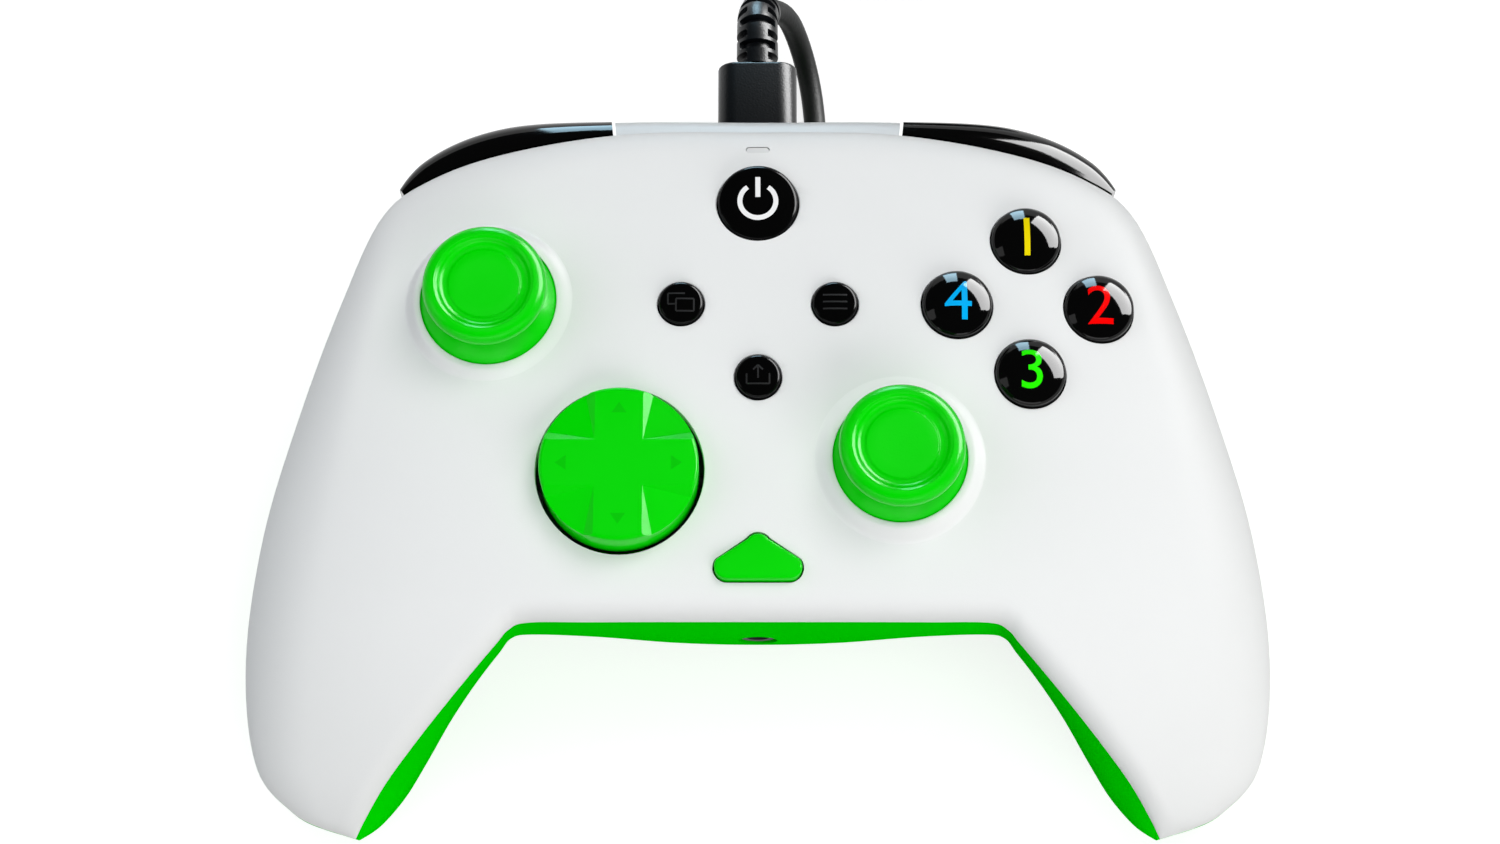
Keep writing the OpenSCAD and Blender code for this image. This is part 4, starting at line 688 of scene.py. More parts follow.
USB_Z = 27.4
RELIEF_Y = 59.6
CORD_R = 1.8
COIL_Z = 2.7
CORD_ROUTE = [
    (0, 59.6, 27.4), (0, 63, 27.4), (0, 66.5, 27), (0.1, 69.6, 25.4), (0.7, 72.2, 22.4),
    (2.5, 74.4, 18.6), (4.7, 75.2, 14.4), (6.2, 74.6, 10), (7.6, 72.3, 6), (8.7, 68.8, 3.3),
    (9.4, 64.5, 2.1), (9.8, 59, 1.9), (10, 53, 1.9), (10, 46, 1.9), (10, 40, 1.9),
    (9, 33, 1.9), (5.6, 27.4, 1.9), (0.2, 24.4, 1.9), (-6, 24.4, 1.9), (-11.4, 27.4, 1.9),
    (-14.9, 33, 1.9), (-15.8, 39.5, 1.9), (-14.4, 46, 1.9), (-10.8, 51.6, 1.9), (-6.4, 56.6, 1.9),
    (-2.8, 62, 1.9), (-0.7, 68, 1.9), (0, 75, 2), (0, 84, 2.3), (0, 93, 2.6),
    (0, 104, 2.7), (0, 111, 2.7), (0, 116, 2.7)]
RELIEF_POINTS = 5
ROUTE_STEPS = 3
COIL_D = 43.2
COIL_PITCH = 4.1
LAYER_TURNS = 4
COIL_TURNS = 16
TURN_STEPS = 24
COIL_OUT = COIL_D / 2 + LAYER_TURNS * COIL_PITCH / 2
COIL_MIDDLE = (COIL_OUT, 119.6)
COIL_TOP = COIL_Z + 3 * COIL_PITCH + CORD_R
FAR_PLUG = (15.0, 7.4, 24.0)
FAR_GAP = 0.2
FAR_Z = COIL_TOP + FAR_GAP + FAR_PLUG[1] / 2
LAST_BEND_R = 11.0
LAST_BEND = 52.0
BEND_STEPS = 5
FAR_WAY = Vector((math.sin(math.radians(LAST_BEND)), math.cos(math.radians(LAST_BEND)), 0))
FAR_LEAD = 5.4


def coil_point(t):
    """The cord's middle after t turns: out and in, a layer at a time, then up to the far plug."""
    climb = COIL_PITCH * sum(smooth((t - k * LAYER_TURNS) * 2 + 0.5) for k in (1, 2, 3))
    climb += (FAR_Z - COIL_TOP + CORD_R) * smooth((t - COIL_TURNS + 0.6) * 1.7)
    r = COIL_OUT - COIL_PITCH * (LAYER_TURNS - abs(t % (2 * LAYER_TURNS) - LAYER_TURNS))
    a = math.radians(180 - 360 * t)
    return Vector((COIL_MIDDLE[0] + r * math.cos(a), COIL_MIDDLE[1] + r * math.sin(a), COIL_Z + climb))


def bend_point(angle):
    """The cord's middle on the last bend, on top of the coil."""
    a = math.radians(180 - angle)
    x = COIL_MIDDLE[0] - COIL_OUT + LAST_BEND_R * (1 + math.cos(a))
    return Vector((x, COIL_MIDDLE[1] + LAST_BEND_R * math.sin(a), FAR_Z))


FAR_START = bend_point(LAST_BEND) + FAR_WAY * FAR_LEAD


def cord_points():
    """The cord's middle line from the relief to the far plug."""
    route = open_curve(CORD_ROUTE, ROUTE_STEPS)[ROUTE_STEPS * (RELIEF_POINTS - 1):]
    coil = [coil_point(i / TURN_STEPS) for i in range(COIL_TURNS * TURN_STEPS + 1)]
    bend = [bend_point(LAST_BEND * i / BEND_STEPS) for i in range(1, BEND_STEPS + 1)]
    return route + coil + bend + [FAR_START - FAR_WAY * CORD_R, FAR_START]


def swept(bm, path, radius, sides):
    """A round body along a path near the YZ plane; radius(step, angle) gives its size."""
    rings = []
    for i, p in enumerate(path):
        way = (path[min(i + 1, len(path) - 1)] - path[max(i - 1, 0)]).normalized()
        side = (Vector((1, 0, 0)) - way.x * way).normalized()
        up = way.cross(side)
        rings.append([p + radius(i, a) * (math.cos(a) * side + math.sin(a) * up)
                      for a in (math.tau * j / sides for j in range(sides))])
    loft(bm, rings)


def rounded_box(w, h, r, steps=6):
    """Outline of a box with round corners, about the origin."""
    return [q for sx, sy, a in ((1, 1, 0), (-1, 1, 90), (-1, -1, 180), (1, -1, 270))
            for q in arc(sx * (w / 2 - r), sy * (h / 2 - r), r, a, a + 90, steps)]


PLUG_FRONT = 45.0
PLUG_SIZE = (12.4, 6.6, 3.0)
PLUG_EDGE, FAR_EDGE = 0.5, 0.6
FAR_ROUND = 1.9
FAR_NECK = 7.0
COLLAR = [(0, 0), (2.3, 0), (2.5, 0.4), (2.7, 2.0), (2.35, 2.2), (2.4, 2.9), (2.9, 3.1), (3.0, 4.6),
          (2.6, 4.8), (2.7, 5.4), (3.3, 5.6), (3.5, 7.4), (0, 7.4)]
RELIEF_STEPS, RELIEF_SIDES = 18, 96
RELIEF_R = (3.3, 3.2)
SLOT_PITCH, SLOT_FROM, SLOT_SHARE = 1.9, 0.36, 0.55
SLOT_REACH = math.radians(57)
SLOT_DEPTH, SLOT_FREE_END = 0.95, 0.9
STRAP_T, STRAP_W, STRAP_ROUND = 0.8, 10.0, 2.4
STRAP_X = (COIL_OUT - LAYER_TURNS * COIL_PITCH - CORD_R - 1.6, COIL_OUT + CORD_R + 0.4)
STRAP_TALL = COIL_TOP + 1.0
STRAP_TURN = 62


class PAD_OT_cable(bpy.types.Operator):
    """Plug, ribbed relief, cord, coil, strap and far plug"""
    bl_idname = "pad.cable"
    bl_label = "Cable"

    def execute(self, context):
        made = finishes()
        points = cord_points()
        data = bpy.data.curves.new("cord", "CURVE")
        data.dimensions, data.bevel_depth = "3D", CORD_R * MM
        data.bevel_resolution, data.use_fill_caps = 4, True
        line = data.splines.new("POLY")
        line.points.add(len(points) - 1)
        for spot, p in zip(line.points, points):
            spot.co = (*(p * MM), 1)
        data.materials.append(made["cord"])
        cord = bpy.data.objects.new("cord", data)
        context.collection.objects.link(cord)
        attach(cord, "body")
        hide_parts("cord_lead", "cord_coil")

        self.plug(made)
        self.relief(made)
        far = self.far_plug(made)
        strap = self.strap(made)
        run = sum((b - a).length for a, b in zip(points, points[1:])) * MM
        tuple(points[0] * MM)
        return {"FINISHED"}

    def plug(self, made):
        bm = bmesh.new()
        prism(bm, rounded_box(*PLUG_SIZE, 10), 0, RELIEF_Y - PLUG_FRONT)
        rounded_edges(bm, PLUG_EDGE, 3, 60)
        turned(bm, "X", -90)
        bmesh.ops.translate(bm, verts=bm.verts, vec=(0, PLUG_FRONT, USB_Z))
        outward(bm)
        piece("plug_body", bm, "body", made["plug"], ("plug",))

    def relief(self, made):
        """Bending relief with rows of slots, turned a quarter from row to row."""
        whole = open_curve(CORD_ROUTE[:RELIEF_POINTS + 1], RELIEF_STEPS)
        path = whole[:RELIEF_STEPS * (RELIEF_POINTS - 1) + 1]
        n = len(path) - 1
        run = [sum((path[k + 1] - path[k]).length for k in range(i)) for i in range(n + 1)]

        def radius(i, angle):
            row, share = divmod(run[i] / SLOT_PITCH, 1)
            middle = 0 if row % 2 == 0 else math.pi / 2
            off = abs((angle - middle + math.pi / 2) % math.pi - math.pi / 2)
            in_slot = SLOT_FROM < share < SLOT_FROM + SLOT_SHARE and off < SLOT_REACH
            deep = SLOT_DEPTH if in_slot and run[i] < run[n] - SLOT_FREE_END else 0
            return mix(*RELIEF_R, i / n) - deep
        bm = bmesh.new()
        swept(bm, path, radius, RELIEF_SIDES)
        outward(bm)
        piece("relief", bm, "body", made["plug"], ("strain_relief",), sharp=28)

    def far_plug(self, made):
        bm = bmesh.new()
        w, h, long = FAR_PLUG
        prism(bm, rounded_box(w, h, FAR_ROUND), 0, long - FAR_NECK)
        rounded_edges(bm, FAR_EDGE, 3, 60)
        bmesh.ops.translate(bm, verts=bm.verts, vec=(0, 0, FAR_NECK))
        collar = bmesh.new()
        lathe(collar, COLLAR, steps=40)
        add_mesh(bm, collar)
        aim = Matrix.Rotation(-math.radians(LAST_BEND), 4, "Z") @ Matrix.Rotation(-math.pi / 2, 4, "X")
        bmesh.ops.transform(bm, matrix=Matrix.Translation(FAR_START) @ aim, verts=bm.verts)
        outward(bm)
        return piece("far_plug_body", bm, "body", made["plug"], ("far_plug",))

    def strap(self, made):
        """Woven strap in a closed loop round the coil."""
        low, high = STRAP_X
        wide = high - low + 2 * STRAP_T

        def loop(inset):
            outline = rounded_box(wide - 2 * inset, STRAP_TALL - 2 * inset, STRAP_ROUND - inset)
            return [(x + (low + high) / 2, z + STRAP_TALL / 2) for x, z in outline]
        edge = STRAP_W / 2
        rings = [[Vector(p) for p in ((xo, -edge, zo), (xo, edge, zo), (xi, edge, zi), (xi, -edge, zi))]
                 for (xo, zo), (xi, zi) in zip(loop(0), loop(STRAP_T))]
        bm = bmesh.new()
        loft(bm, rings + rings[:1], close_ends=False)
        outward(bm)
        place = Matrix.Translation((*COIL_MIDDLE, 0)) @ Matrix.Rotation(math.radians(STRAP_TURN), 4, "Z")
        bmesh.ops.transform(bm, verts=bm.verts, matrix=place)
        return piece("coil_strap", bm, "body", made["strap"], ("cable_tie",))


# Shells

HOLE_DEPTH, HOLE_OVER = 9.0, 6.0
CUT_TOP = 60
RIB_STEPS, FRONT_STEPS, BACK_STEPS = 180, 72, 84
RING_FLARE, DPAD_FLARE, BUTTON_FLARE, SMALL_FLARE = 0.1, 0.35, 0.22, 0.2
MOUTH_TIGHT, AUDIO_TIGHT = 0.12, 0.1
SLIT = (1.3, 0.22, 0.52)
SKIRT_SPARE = 0.05
AUDIO_HALF = (6.4, 3.4)
AUDIO_ROUND = 1.9


def flared(bm, form, at, r, flare):
    """A cutter for a round hole in the face with a rounded mouth, laid along the face's slope."""
    own = bmesh.new()
    mouth = arc(r + flare, -flare, flare, 180, 90, 5)
    over = [(r + flare, HOLE_OVER), (0, HOLE_OVER)]
    lathe(own, [(0, -HOLE_DEPTH), (r, -HOLE_DEPTH)] + mouth + over, steps=72)
    sx, sy = form.slope(*at)
    base = form.face(*at)
    for v in own.verts:
        lean = v.co.x * sx + v.co.y * sy if v.co.z > 0.1 - HOLE_DEPTH else 0
        v.co = (v.co.x + at[0], v.co.y + at[1], v.co.z + base + lean)
    outward(own)
    add_mesh(bm, own)


def audio_outline(gap, at):
    """A triangle with round corners, its point to the rear."""
    r = AUDIO_ROUND + gap
    x, y = AUDIO_HALF[0] - AUDIO_ROUND, AUDIO_HALF[1] - AUDIO_ROUND
    points = arc(0, y, r, 145, 35, 10) + arc(x, -y, r, 35, -90, 12) + arc(-x, -y, r, -90, -215, 12)
    return [(px + at[0], py + at[1]) for px, py in points]


def double_skin(point, wall, cols, share=lambda u: u):
    """A closed wall between an outer and an inner skin of a shell."""
    bm = bmesh.new()
    for inset, tip in ((0, LAST_RIB), (wall, INNER_TIP)):
        placed_grid(bm, cols, RIB_STEPS, lambda u, v: point(station(v, tip), share(u), inset, tip))
    bmesh.ops.bridge_loops(bm, edges=[e for e in bm.edges if e.is_boundary])
    outward(bm)
    return bm


def station(v, tip):
    """Rib at share v of the way from grip to grip, closer together near the tips."""
    t = 2 * v - 1
    return tip * (0.62 * t + 0.38 * math.sin(t * math.pi / 2))


def spread(u):
    """Shares closer together near both edges."""
    return (1 - math.cos(math.pi * u)) / 2


class PAD_OT_front_shell(bpy.types.Operator):
    """White face with rounded mouths round the sticks, pad and buttons"""
    bl_idname = "pad.front_shell"
    bl_label = "Front Shell"

    def execute(self, context):
        form, at, made = form_and_finishes()
        bm = double_skin(form.front_point, form.wall, FRONT_STEPS, spread)
        bm = cut_by(cut_by(bm, self.mouths(form, at)), self.skirt_rooms(form, at))
        piece("face_shell", bm, "body", made["face"], ("front_shell",), sharp=32)
        return {"FINISHED"}

    def mouths(self, form, at):
        """Cutters for every hole in the face."""
        tool = bmesh.new()
        around = form.button_gap - MOUTH_TIGHT
        for names, r, flare in (
                (STICKS, RING_D / 2 + RING_GAP, RING_FLARE),
                (("dpad",), form.dpad_d / 2 + DPAD_GAP, DPAD_FLARE),
                (COMPASS, form.action_d / 2 + around, BUTTON_FLARE),
                (("home",), form.home_d / 2 + around, BUTTON_FLARE),
                (SMALL_BUTTONS, form.small_d / 2 + around, SMALL_FLARE)):
            for name in names:
                flared(tool, form, at[name], r, flare)
        prism(tool, audio_outline(form.button_gap - AUDIO_TIGHT, at["audio"]), BOARD_TOP, CUT_TOP)
        x, y = at["light"]
        half, up, r = SLIT
        slit = arc(x + half, y + up, r, -90, 90, 8) + arc(x - half, y + up, r, 90, 270, 8)
        prism(tool, slit, BOARD_TOP, CUT_TOP)
        outward(tool)
        return tool

    def skirt_rooms(self, form, at):
        """Balls round the sticks' pivots, so that a tilted skirt stays clear of the face."""
        bm = bmesh.new()
        for name in STICKS:
            ball = bmesh.ops.create_uvsphere(
                bm, u_segments=96, v_segments=48, radius=form.skirt_room(at) + SKIRT_SPARE)["verts"]
            bmesh.ops.translate(bm, vec=(*at[name], PIVOT_Z), verts=ball)
        return bm


SCREWS = [(m * x, y, z) for x, y, z in ((58, -2, 22), (61.5, -44.5, 13), (35.5, -21, 20)) for m in (-1, 1)]
WELL_R, WELL_OUT, WELL_SEAT_R, WELL_SEAT_T = 2.6, 3.6, 1.4, 2.6
WELL_SUNK, WELL_INTO, WELL_PROBE_R, WELL_PROBES = 4, 0.5, 3.3, 12
BAY_SIZE, BAY_AT = (27.6, 40, 60), (35.4, 53.8, 20)
JACK_R, JACK_DEEP, JACK_Z = 2.9, 12, 24


class PAD_OT_back_shell(bpy.types.Operator):
    """Green back with trigger bays, screw wells and the headset hole"""
    bl_idname = "pad.back_shell"
    bl_label = "Back Shell"

    def execute(self, context):
        form, _, made = form_and_finishes()
        bm = double_skin(form.back_point, form.wall, BACK_STEPS)
        tool = bmesh.new()
        for _, m in SIDES:
            block(tool, BAY_SIZE, (m * BAY_AT[0], *BAY_AT[1:]))
        for x, y, z in SCREWS:
            rod(tool, WELL_R, z, (x, y, z / 2 - WELL_SUNK), 40)
        rod(tool, JACK_R, JACK_DEEP, (0, -form.front_edge, JACK_Z), 48, lying=True)
        outward(tool)
        bm = cut_by(bm, tool)
        back = piece("back_body", bm, "body", made["back"], ("back_shell",), sharp=32)
        self.wells(back, made)
        return {"FINISHED"}

    def wells(self, back, made):
        """Tubes that the screws sit in, from inside the wall up to the screws' seats."""
        bm = bmesh.new()
        for x, y, z in SCREWS:
            low = WELL_INTO + self.wall_under(back, x, y)
            seat = z - WELL_SEAT_T
            tube = bmesh.new()
            lathe(tube, [(WELL_R, low), (WELL_OUT, low), (WELL_OUT, z), (WELL_SEAT_R, z), (WELL_SEAT_R, seat),
                         (WELL_R, seat), (WELL_R, low)], (x, y, 0), 40)
            outward(tube)
            add_mesh(bm, tube)
        piece("screw_wells", bm, "body", made["back"])

    def wall_under(self, back, x, y):
        """Highest point of the back's outside round a screw."""
        heights = [0.0]
        for px, py in arc(x, y, WELL_PROBE_R, 0, 360, WELL_PROBES)[:-1]:
            hit, spot, _, _ = back.ray_cast((px * MM, py * MM, -0.02), (0, 0, 1))
            if hit:
                heights.append(spot.z / MM)
        return max(heights)


BAND_SHAPE = [(0, 0), (0.05, 0.42), (0.14, 0.74), (0.3, 0.96), (0.55, 1), (0.8, 0.92), (1, 0.74)]
BAND_BULGE = (3, 3.4, 5.6, 4.088, -0.8, 0)
BAND_GAP, BRIDGE_GAP, BAND_WALL, BAND_RISE = 0.4, 0.05, 2.0, 0.2
BRIDGE_END = 1.0877
BUMPER, BUMPER_SILL = (1.1127, 3.5), 1.9
PORT_SIZE, PORT_Y, PORT_EDGE = (12.9, 20, 7.4), 50, 0.8
BUMPER_ARM = ((3, 11, 2), (41.5, 36.6, 34.2))
BUMPER_WEB = ((2.6, 3, 3), (23.8, 44.7, 33))
BUMPER_HUB = [(1.25, 0), (2.3, 0), (2.3, 8.2), (0, 8.2), (0, 6.6), (1.25, 6.6), (1.25, 0)]
BUMPER_HUB_AT = (23.2, 36.4, 33)


def band_ring(form, s, low, gap=BAND_GAP):
    """Section of the band at rib s, from the parting line down to low."""
    bulge = rib_value(BAND_BULGE, s)
    top = form.parting_out(s) + BAND_RISE
    way = (form.outer(s + 0.05) - form.outer(s - 0.05)).normalized()
    away, edge = Vector((-way.y, way.x)), form.outer(s)
    shape = open_curve(BAND_SHAPE, 3)
    outside = [(mix(gap, BAND_GAP, min(1, a * 4)) + bulge * b, mix(top, low, a)) for a, b in shape]
    inside = [(max(gap, BAND_GAP + bulge * b) - BAND_WALL * (0.25 + 0.75 * smooth(a * 4)),
               mix(top - BAND_WALL, low, a)) for a, b in shape]
    return [Vector((edge.x + away.x * n, edge.y + away.y * n, z)) for n, z in inside + outside[::-1]]


class PAD_OT_rear_band(bpy.types.Operator):
    """Grey bridge over the plug and a glossy bumper on each side"""
    bl_idname = "pad.rear_band"
    bl_label = "Bridge and Bumpers"

    def execute(self, context):
        form, _, made = form_and_finishes()
        bm = bmesh.new()
        loft(bm, [band_ring(form, s, form.sill_at(s) + form.seam, BRIDGE_GAP)
                  for s in (mix(-BRIDGE_END, BRIDGE_END, i / 40) for i in range(41))])
        outward(bm)
        port = bmesh.new()
        block(port, PORT_SIZE, (0, PORT_Y, USB_Z))
        rounded_edges(port, PORT_EDGE, 3, 60)
        outward(port)
        bm = cut_by(bm, port)
        piece("bridge", bm, "body", made["bridge"], ("rear_bridge",), sharp=40)
        for side, m in SIDES:
            bm = bmesh.new()
            loft(bm, [band_ring(form, s, form.sill_at(s) + BUMPER_SILL)
                      for s in (mix(*BUMPER, i / 64) for i in range(65))])
            block(bm, *BUMPER_ARM)
            hub = bmesh.new()
            lathe(hub, BUMPER_HUB, steps=32)
            turned(hub, "X", -90)
            bmesh.ops.translate(hub, verts=hub.verts, vec=BUMPER_HUB_AT)
            add_mesh(bm, hub)
            block(bm, *BUMPER_WEB)
            if m < 0:
                flipped(bm)
            outward(bm)
            body = side + "_bumper"
            piece(body + "_shell", bm, body, made["gloss"], (body,), sharp=40)
        return {"FINISHED"}


TRIGGER_BLADE = [(8.4, -4.9), (10.2, -7.6), (11.5, -11.2), (13.3, -14.6), (15.6, -16.9), (17.2, -18),
                 (16.9, -19.4), (13.6, -19.4), (9.6, -17.8), (5.4, -14.6), (2, -10.6), (0.8, -7), (3.6, -5)]
TRIGGER_ARM = [(-2.2, -1.4), (-0.5, 2.4), (1.6, 1.6), (4.6, -4.8), (8, -7.4), (6, -9.5), (1.2, -7)]


TRIGGER_W, TRIGGER_EDGE = 26, 0.9
TRIGGER_HUB, TRIGGER_HUB_R, TRIGGER_PIN_R = (11.6, 22.0), 2.6, 1.3
TRIGGER_AT = (22.4, 36.5, 29.5)


class PAD_OT_triggers(bpy.types.Operator):
    """Curved triggers with softened sides, each on its arm and hub"""
    bl_idname = "pad.triggers"
    bl_label = "Triggers"

    def execute(self, context):
        made = finishes()
        low, high = TRIGGER_HUB
        bore = [(TRIGGER_PIN_R, low), (TRIGGER_HUB_R, low), (TRIGGER_HUB_R, high), (TRIGGER_PIN_R, high)]
        x, y, z = TRIGGER_AT
        place = Matrix(((0, 0, 1, x), (1, 0, 0, y), (0, 1, 0, z), (0, 0, 0, 1)))
        for side, m in SIDES:
            bm = bmesh.new()
            prism(bm, [tuple(p) for p in closed_curve(TRIGGER_BLADE, 6)], 0, TRIGGER_W)
            rounded_edges(bm, TRIGGER_EDGE, 4, 60)
            arm = bmesh.new()
            prism(arm, TRIGGER_ARM, low, high)
            add_mesh(bm, arm)
            hub = bmesh.new()
            lathe(hub, bore + bore[:1], steps=40)
            add_mesh(bm, hub)
            outward(bm)
            bmesh.ops.transform(bm, matrix=place, verts=bm.verts)
            if m < 0:
                flipped(bm)
            outward(bm)
            body = side + "_trigger"
            piece(body + "_body", bm, body, made["satin_black"], (body,), sharp=40)
        return {"FINISHED"}


# Sticks

SKIRT_GAP, BORE_GAP, SKIRT_T = 0.4, 0.25, 1.1
SKIRT_ARC = (22, 58)
RING_T, RING_LIP, RING_FOOT = 2.2, 0.12, 1.2
RING_STEPS, RING_TURNS = 10, 128
DISC_SHARE = 0.575


class PAD_OT_sticks(bpy.types.Operator):
    """Caps with a fat rim, a groove and a thumb disc, over a round skirt, each in a white ring"""
    bl_idname = "pad.sticks"
    bl_label = "Thumbsticks"

    def execute(self, context):
        form, at, made = form_and_finishes()
        clear = form.skirt_room(at)
        for side, _ in SIDES:
            x, y = at[side + "_stick"]
            bm = bmesh.new()
            lathe(bm, self.cap_profile(form, clear - SKIRT_GAP), (x, y, PIVOT_Z), 128)
            outward(bm)
            body = side + "_stick"
            piece(side + "_cap", bm, body, made["cap"], (body + "_cap",), sharp=50)
            bm = self.ring(form, x, y, clear - BORE_GAP)
            piece(side + "_ring", bm, "body", made["face_ring"], (body + "_ring",), sharp=50)
        return {"FINISHED"}

    def ring(self, form, x, y, clear):
        """Ring with a spherical bore; outside it runs smoothly down into the face."""
        top = form.face(x, y) + RING_OVER
        low, lip = top - RING_T, top - RING_LIP
        bore = [(math.sqrt(clear ** 2 - (z - PIVOT_Z) ** 2), z)
                for z in (mix(low, lip, i / 5) for i in range(6))]
        edge = math.sqrt(clear ** 2 - (lip - PIVOT_Z) ** 2)
        wide = RING_D / 2 + RING_FOOT

        def section(a):
            foot = form.face(x + wide * math.cos(a), y + wide * math.sin(a)) - 0.02
            fall = [(mix(edge + 0.7, wide, t), mix(top, foot, smooth(t)))
                    for t in (i / RING_STEPS for i in range(RING_STEPS + 1))]
            crown = [(edge + 0.06, top - 0.03), (edge + 0.2, top)]
            return bore + crown + fall + [(wide, foot - 0.5), (edge + 1.2, low)]
        rings = [[Vector((x + r * math.cos(a), y + r * math.sin(a), z)) for r, z in section(a)]
                 for a in (math.tau * i / RING_TURNS for i in range(RING_TURNS))]
        bm = bmesh.new()
        loft(bm, rings + rings[:1], close_ends=False)
        outward(bm)
        return bm

    def cap_profile(self, form, skirt):
        """Section of a cap and its skirt about the pivot, from the skirt's foot over the top and back."""
        r, low = form.cap_d / 2, form.cap_h
        top = low + form.cap_t
        disc = DISC_SHARE * r
        start, end = SKIRT_ARC
        dome = arc(0, 0, skirt, start, end, 16)
        under = open_curve([(6.2, low - 1.25), (6.5, low - 0.85), (7.3, low - 0.35), (r - 0.9, low)], 4)
        rim = arc(r - 0.7, low + 0.8, 0.7, -60, 0, 5) + arc(r - 1.8, top - 1.8, 1.8, 0, 90, 14)
        bowl = open_curve([(0.80 * r, top - 0.04), (0.755 * r, top - 0.3), (0.71 * r, top - 0.85),
                           (0.66 * r, top - 1.15), (0.615 * r, top - 1.2)], 4)
        plate = [(disc + 0.1, top - 1.15), (disc, top - 0.98), (disc - 0.15, top - 0.92),
                 (0.4 * r, top - 0.98), (0.15 * r, top - 1.04)]
        hollow = [(0, top - 1.05), (0, 12.9), (1.83, 12.9), (1.83, 7.8), (3.2, 7.8), (3.2, 10.4)]
        inside = arc(0, 0, skirt - SKIRT_T, end, start, 10)
        return dome + under + rim + bowl + plate + hollow + inside + dome[:1]


# Direction pad

PAD_RISE, PAD_LOW, PAD_EDGE = 3.8, 40.6, 0.7
PAD_RUN, PAD_FALL, PAD_BEYOND = 1.8, 1.5, 3
PAD_STEM = [(0, 35.1), (5.2, 35.1), (5.2, 36.3), (3.4, 36.4), (3.4, 40.7), (0, 40.7)]
PAD_AXLE_R, PAD_AXLE_LONG, PAD_AXLE_Z = 0.9, 20.6, 37.5
PAD_ARROW = [(0, 9.2, 0), (-1.1, 7.6, 0), (1.1, 7.6, 0)]
ARROW_T = 0.01


class PAD_OT_direction_pad(bpy.types.Operator):
    """Round pad with four raised arms, sloping hollows between them and a faint arrow on each arm"""
    bl_idname = "pad.direction_pad"
    bl_label = "Direction Pad"

    def execute(self, context):
        form, at, made = form_and_finishes()
        x, y = at["dpad"]
        r, top = form.dpad_d / 2, form.face(x, y) + PAD_RISE
        low, rim = PAD_LOW - top, arc(r - PAD_EDGE, -PAD_EDGE, PAD_EDGE, 0, 90, 6)
        bm = bmesh.new()
        lathe(bm, [(0, low), (r, low)] + rim + [(0, 0)], steps=128)
        outward(bm)
        bm = cut_by(bm, self.hollows(r, form.arm_w / 2))
        lathe(bm, [(stem_r, z - top) for stem_r, z in PAD_STEM], steps=40)
        rod(bm, PAD_AXLE_R, PAD_AXLE_LONG, (0, 0, PAD_AXLE_Z - top), 24, lying=True)
        bmesh.ops.translate(bm, verts=bm.verts, vec=(x, y, top))
        outward(bm)
        piece("pad_dish", bm, "dpad", made["accent"], ("dpad",), sharp=14)
        piece("pad_arrows", self.arrows(x, y, top), "dpad", made["accent_mark"])
        return {"FINISHED"}

    def hollows(self, r, a):
        """Cutters for the sloping hollows between the arms."""
        far = r + PAD_BEYOND
        run, d = PAD_RUN * far / r, PAD_FALL * far / r
        tool = bmesh.new()
        for k in range(4):
            corner = bmesh.new()
            for p in ((a, a, 0), (far, a, 0), (a, far, 0),
                      (far, a + run, -d), (far, far, -d), (a + run, far, -d),
                      (a, a, 2), (far, a, 2), (a, far, 2), (far, far, 2)):
                corner.verts.new(p)
            bmesh.ops.convex_hull(corner, input=corner.verts)
            turned(corner, "Z", 90 * k)
            outward(corner)
            add_mesh(tool, corner)
        return tool

    def arrows(self, x, y, top):
        """A thin arrow on each arm."""
        bm = bmesh.new()
        for k in range(4):
            turn = Matrix.Rotation(k * math.pi / 2, 3, "Z")
            bm.faces.new([bm.verts.new(turn @ Vector(p) + Vector((x, y, top + ARROW_T))) for p in PAD_ARROW])
        bmesh.ops.solidify(bm, geom=bm.faces[:], thickness=ARROW_T)
        outward(bm)
        return bm


# Buttons

STEM_LOW, STEM_R = 34.3, 1.8
FLANGE_UP, FLANGE_T, FLANGE_OUT, SHOULDER_T = 2.1, 1.2, 0.85, 0.6
ACTION_TOP = dict(proud=1.3, dome=1.5, shoulder=3.0, edge=0.6)
HOME_TOP = dict(proud=0.9, dome=0.4, shoulder=3.0, edge=0.45)
SMALL_TOP = dict(proud=0.9, dome=0.2, shoulder=2.4, edge=0.4)
MARK_LIFT, MARK_STEP = 0.012, 0.55
NUMERAL_TALL = 6.0
HOME_STROKE, SMALL_STROKE, SMALL_SIGN = 0.75, 0.26, 1.2


def dome_height(r, dome, distance):
    """Height of a domed top over its rim, at a distance from its middle."""
    ball = (r * r + dome * dome) / (2 * dome)
    return math.sqrt(max(0.0, ball * ball - distance * distance)) - (ball - dome)


def turned_button(form, at, d, proud, dome, shoulder, edge):
    """A button with a stem, a flange under the shell, straight sides and a domed top."""
    r, side_top = d / 2, form.face(*at) + proud
    flange = STEM_LOW + FLANGE_UP
    step, wide, cap = flange - SHOULDER_T, r + FLANGE_OUT, r - edge
    profile = [(0, STEM_LOW), (STEM_R, STEM_LOW), (STEM_R, step), (shoulder, step), (shoulder, flange),
               (wide, flange), (wide, flange + FLANGE_T), (r, flange + FLANGE_T), (r, side_top - edge),
               (r - 0.08 * edge, side_top - 0.75 * edge), (cap + 0.25 * edge, side_top - 0.14 * edge)]
    profile += [(x, side_top + dome_height(cap, dome, x)) for x, _ in arc(0, 0, cap, 12, 90, 16)]
    bm = bmesh.new()
    lathe(bm, profile, (at[0], at[1], 0), 96)
    outward(bm)
    return bm, side_top, cap


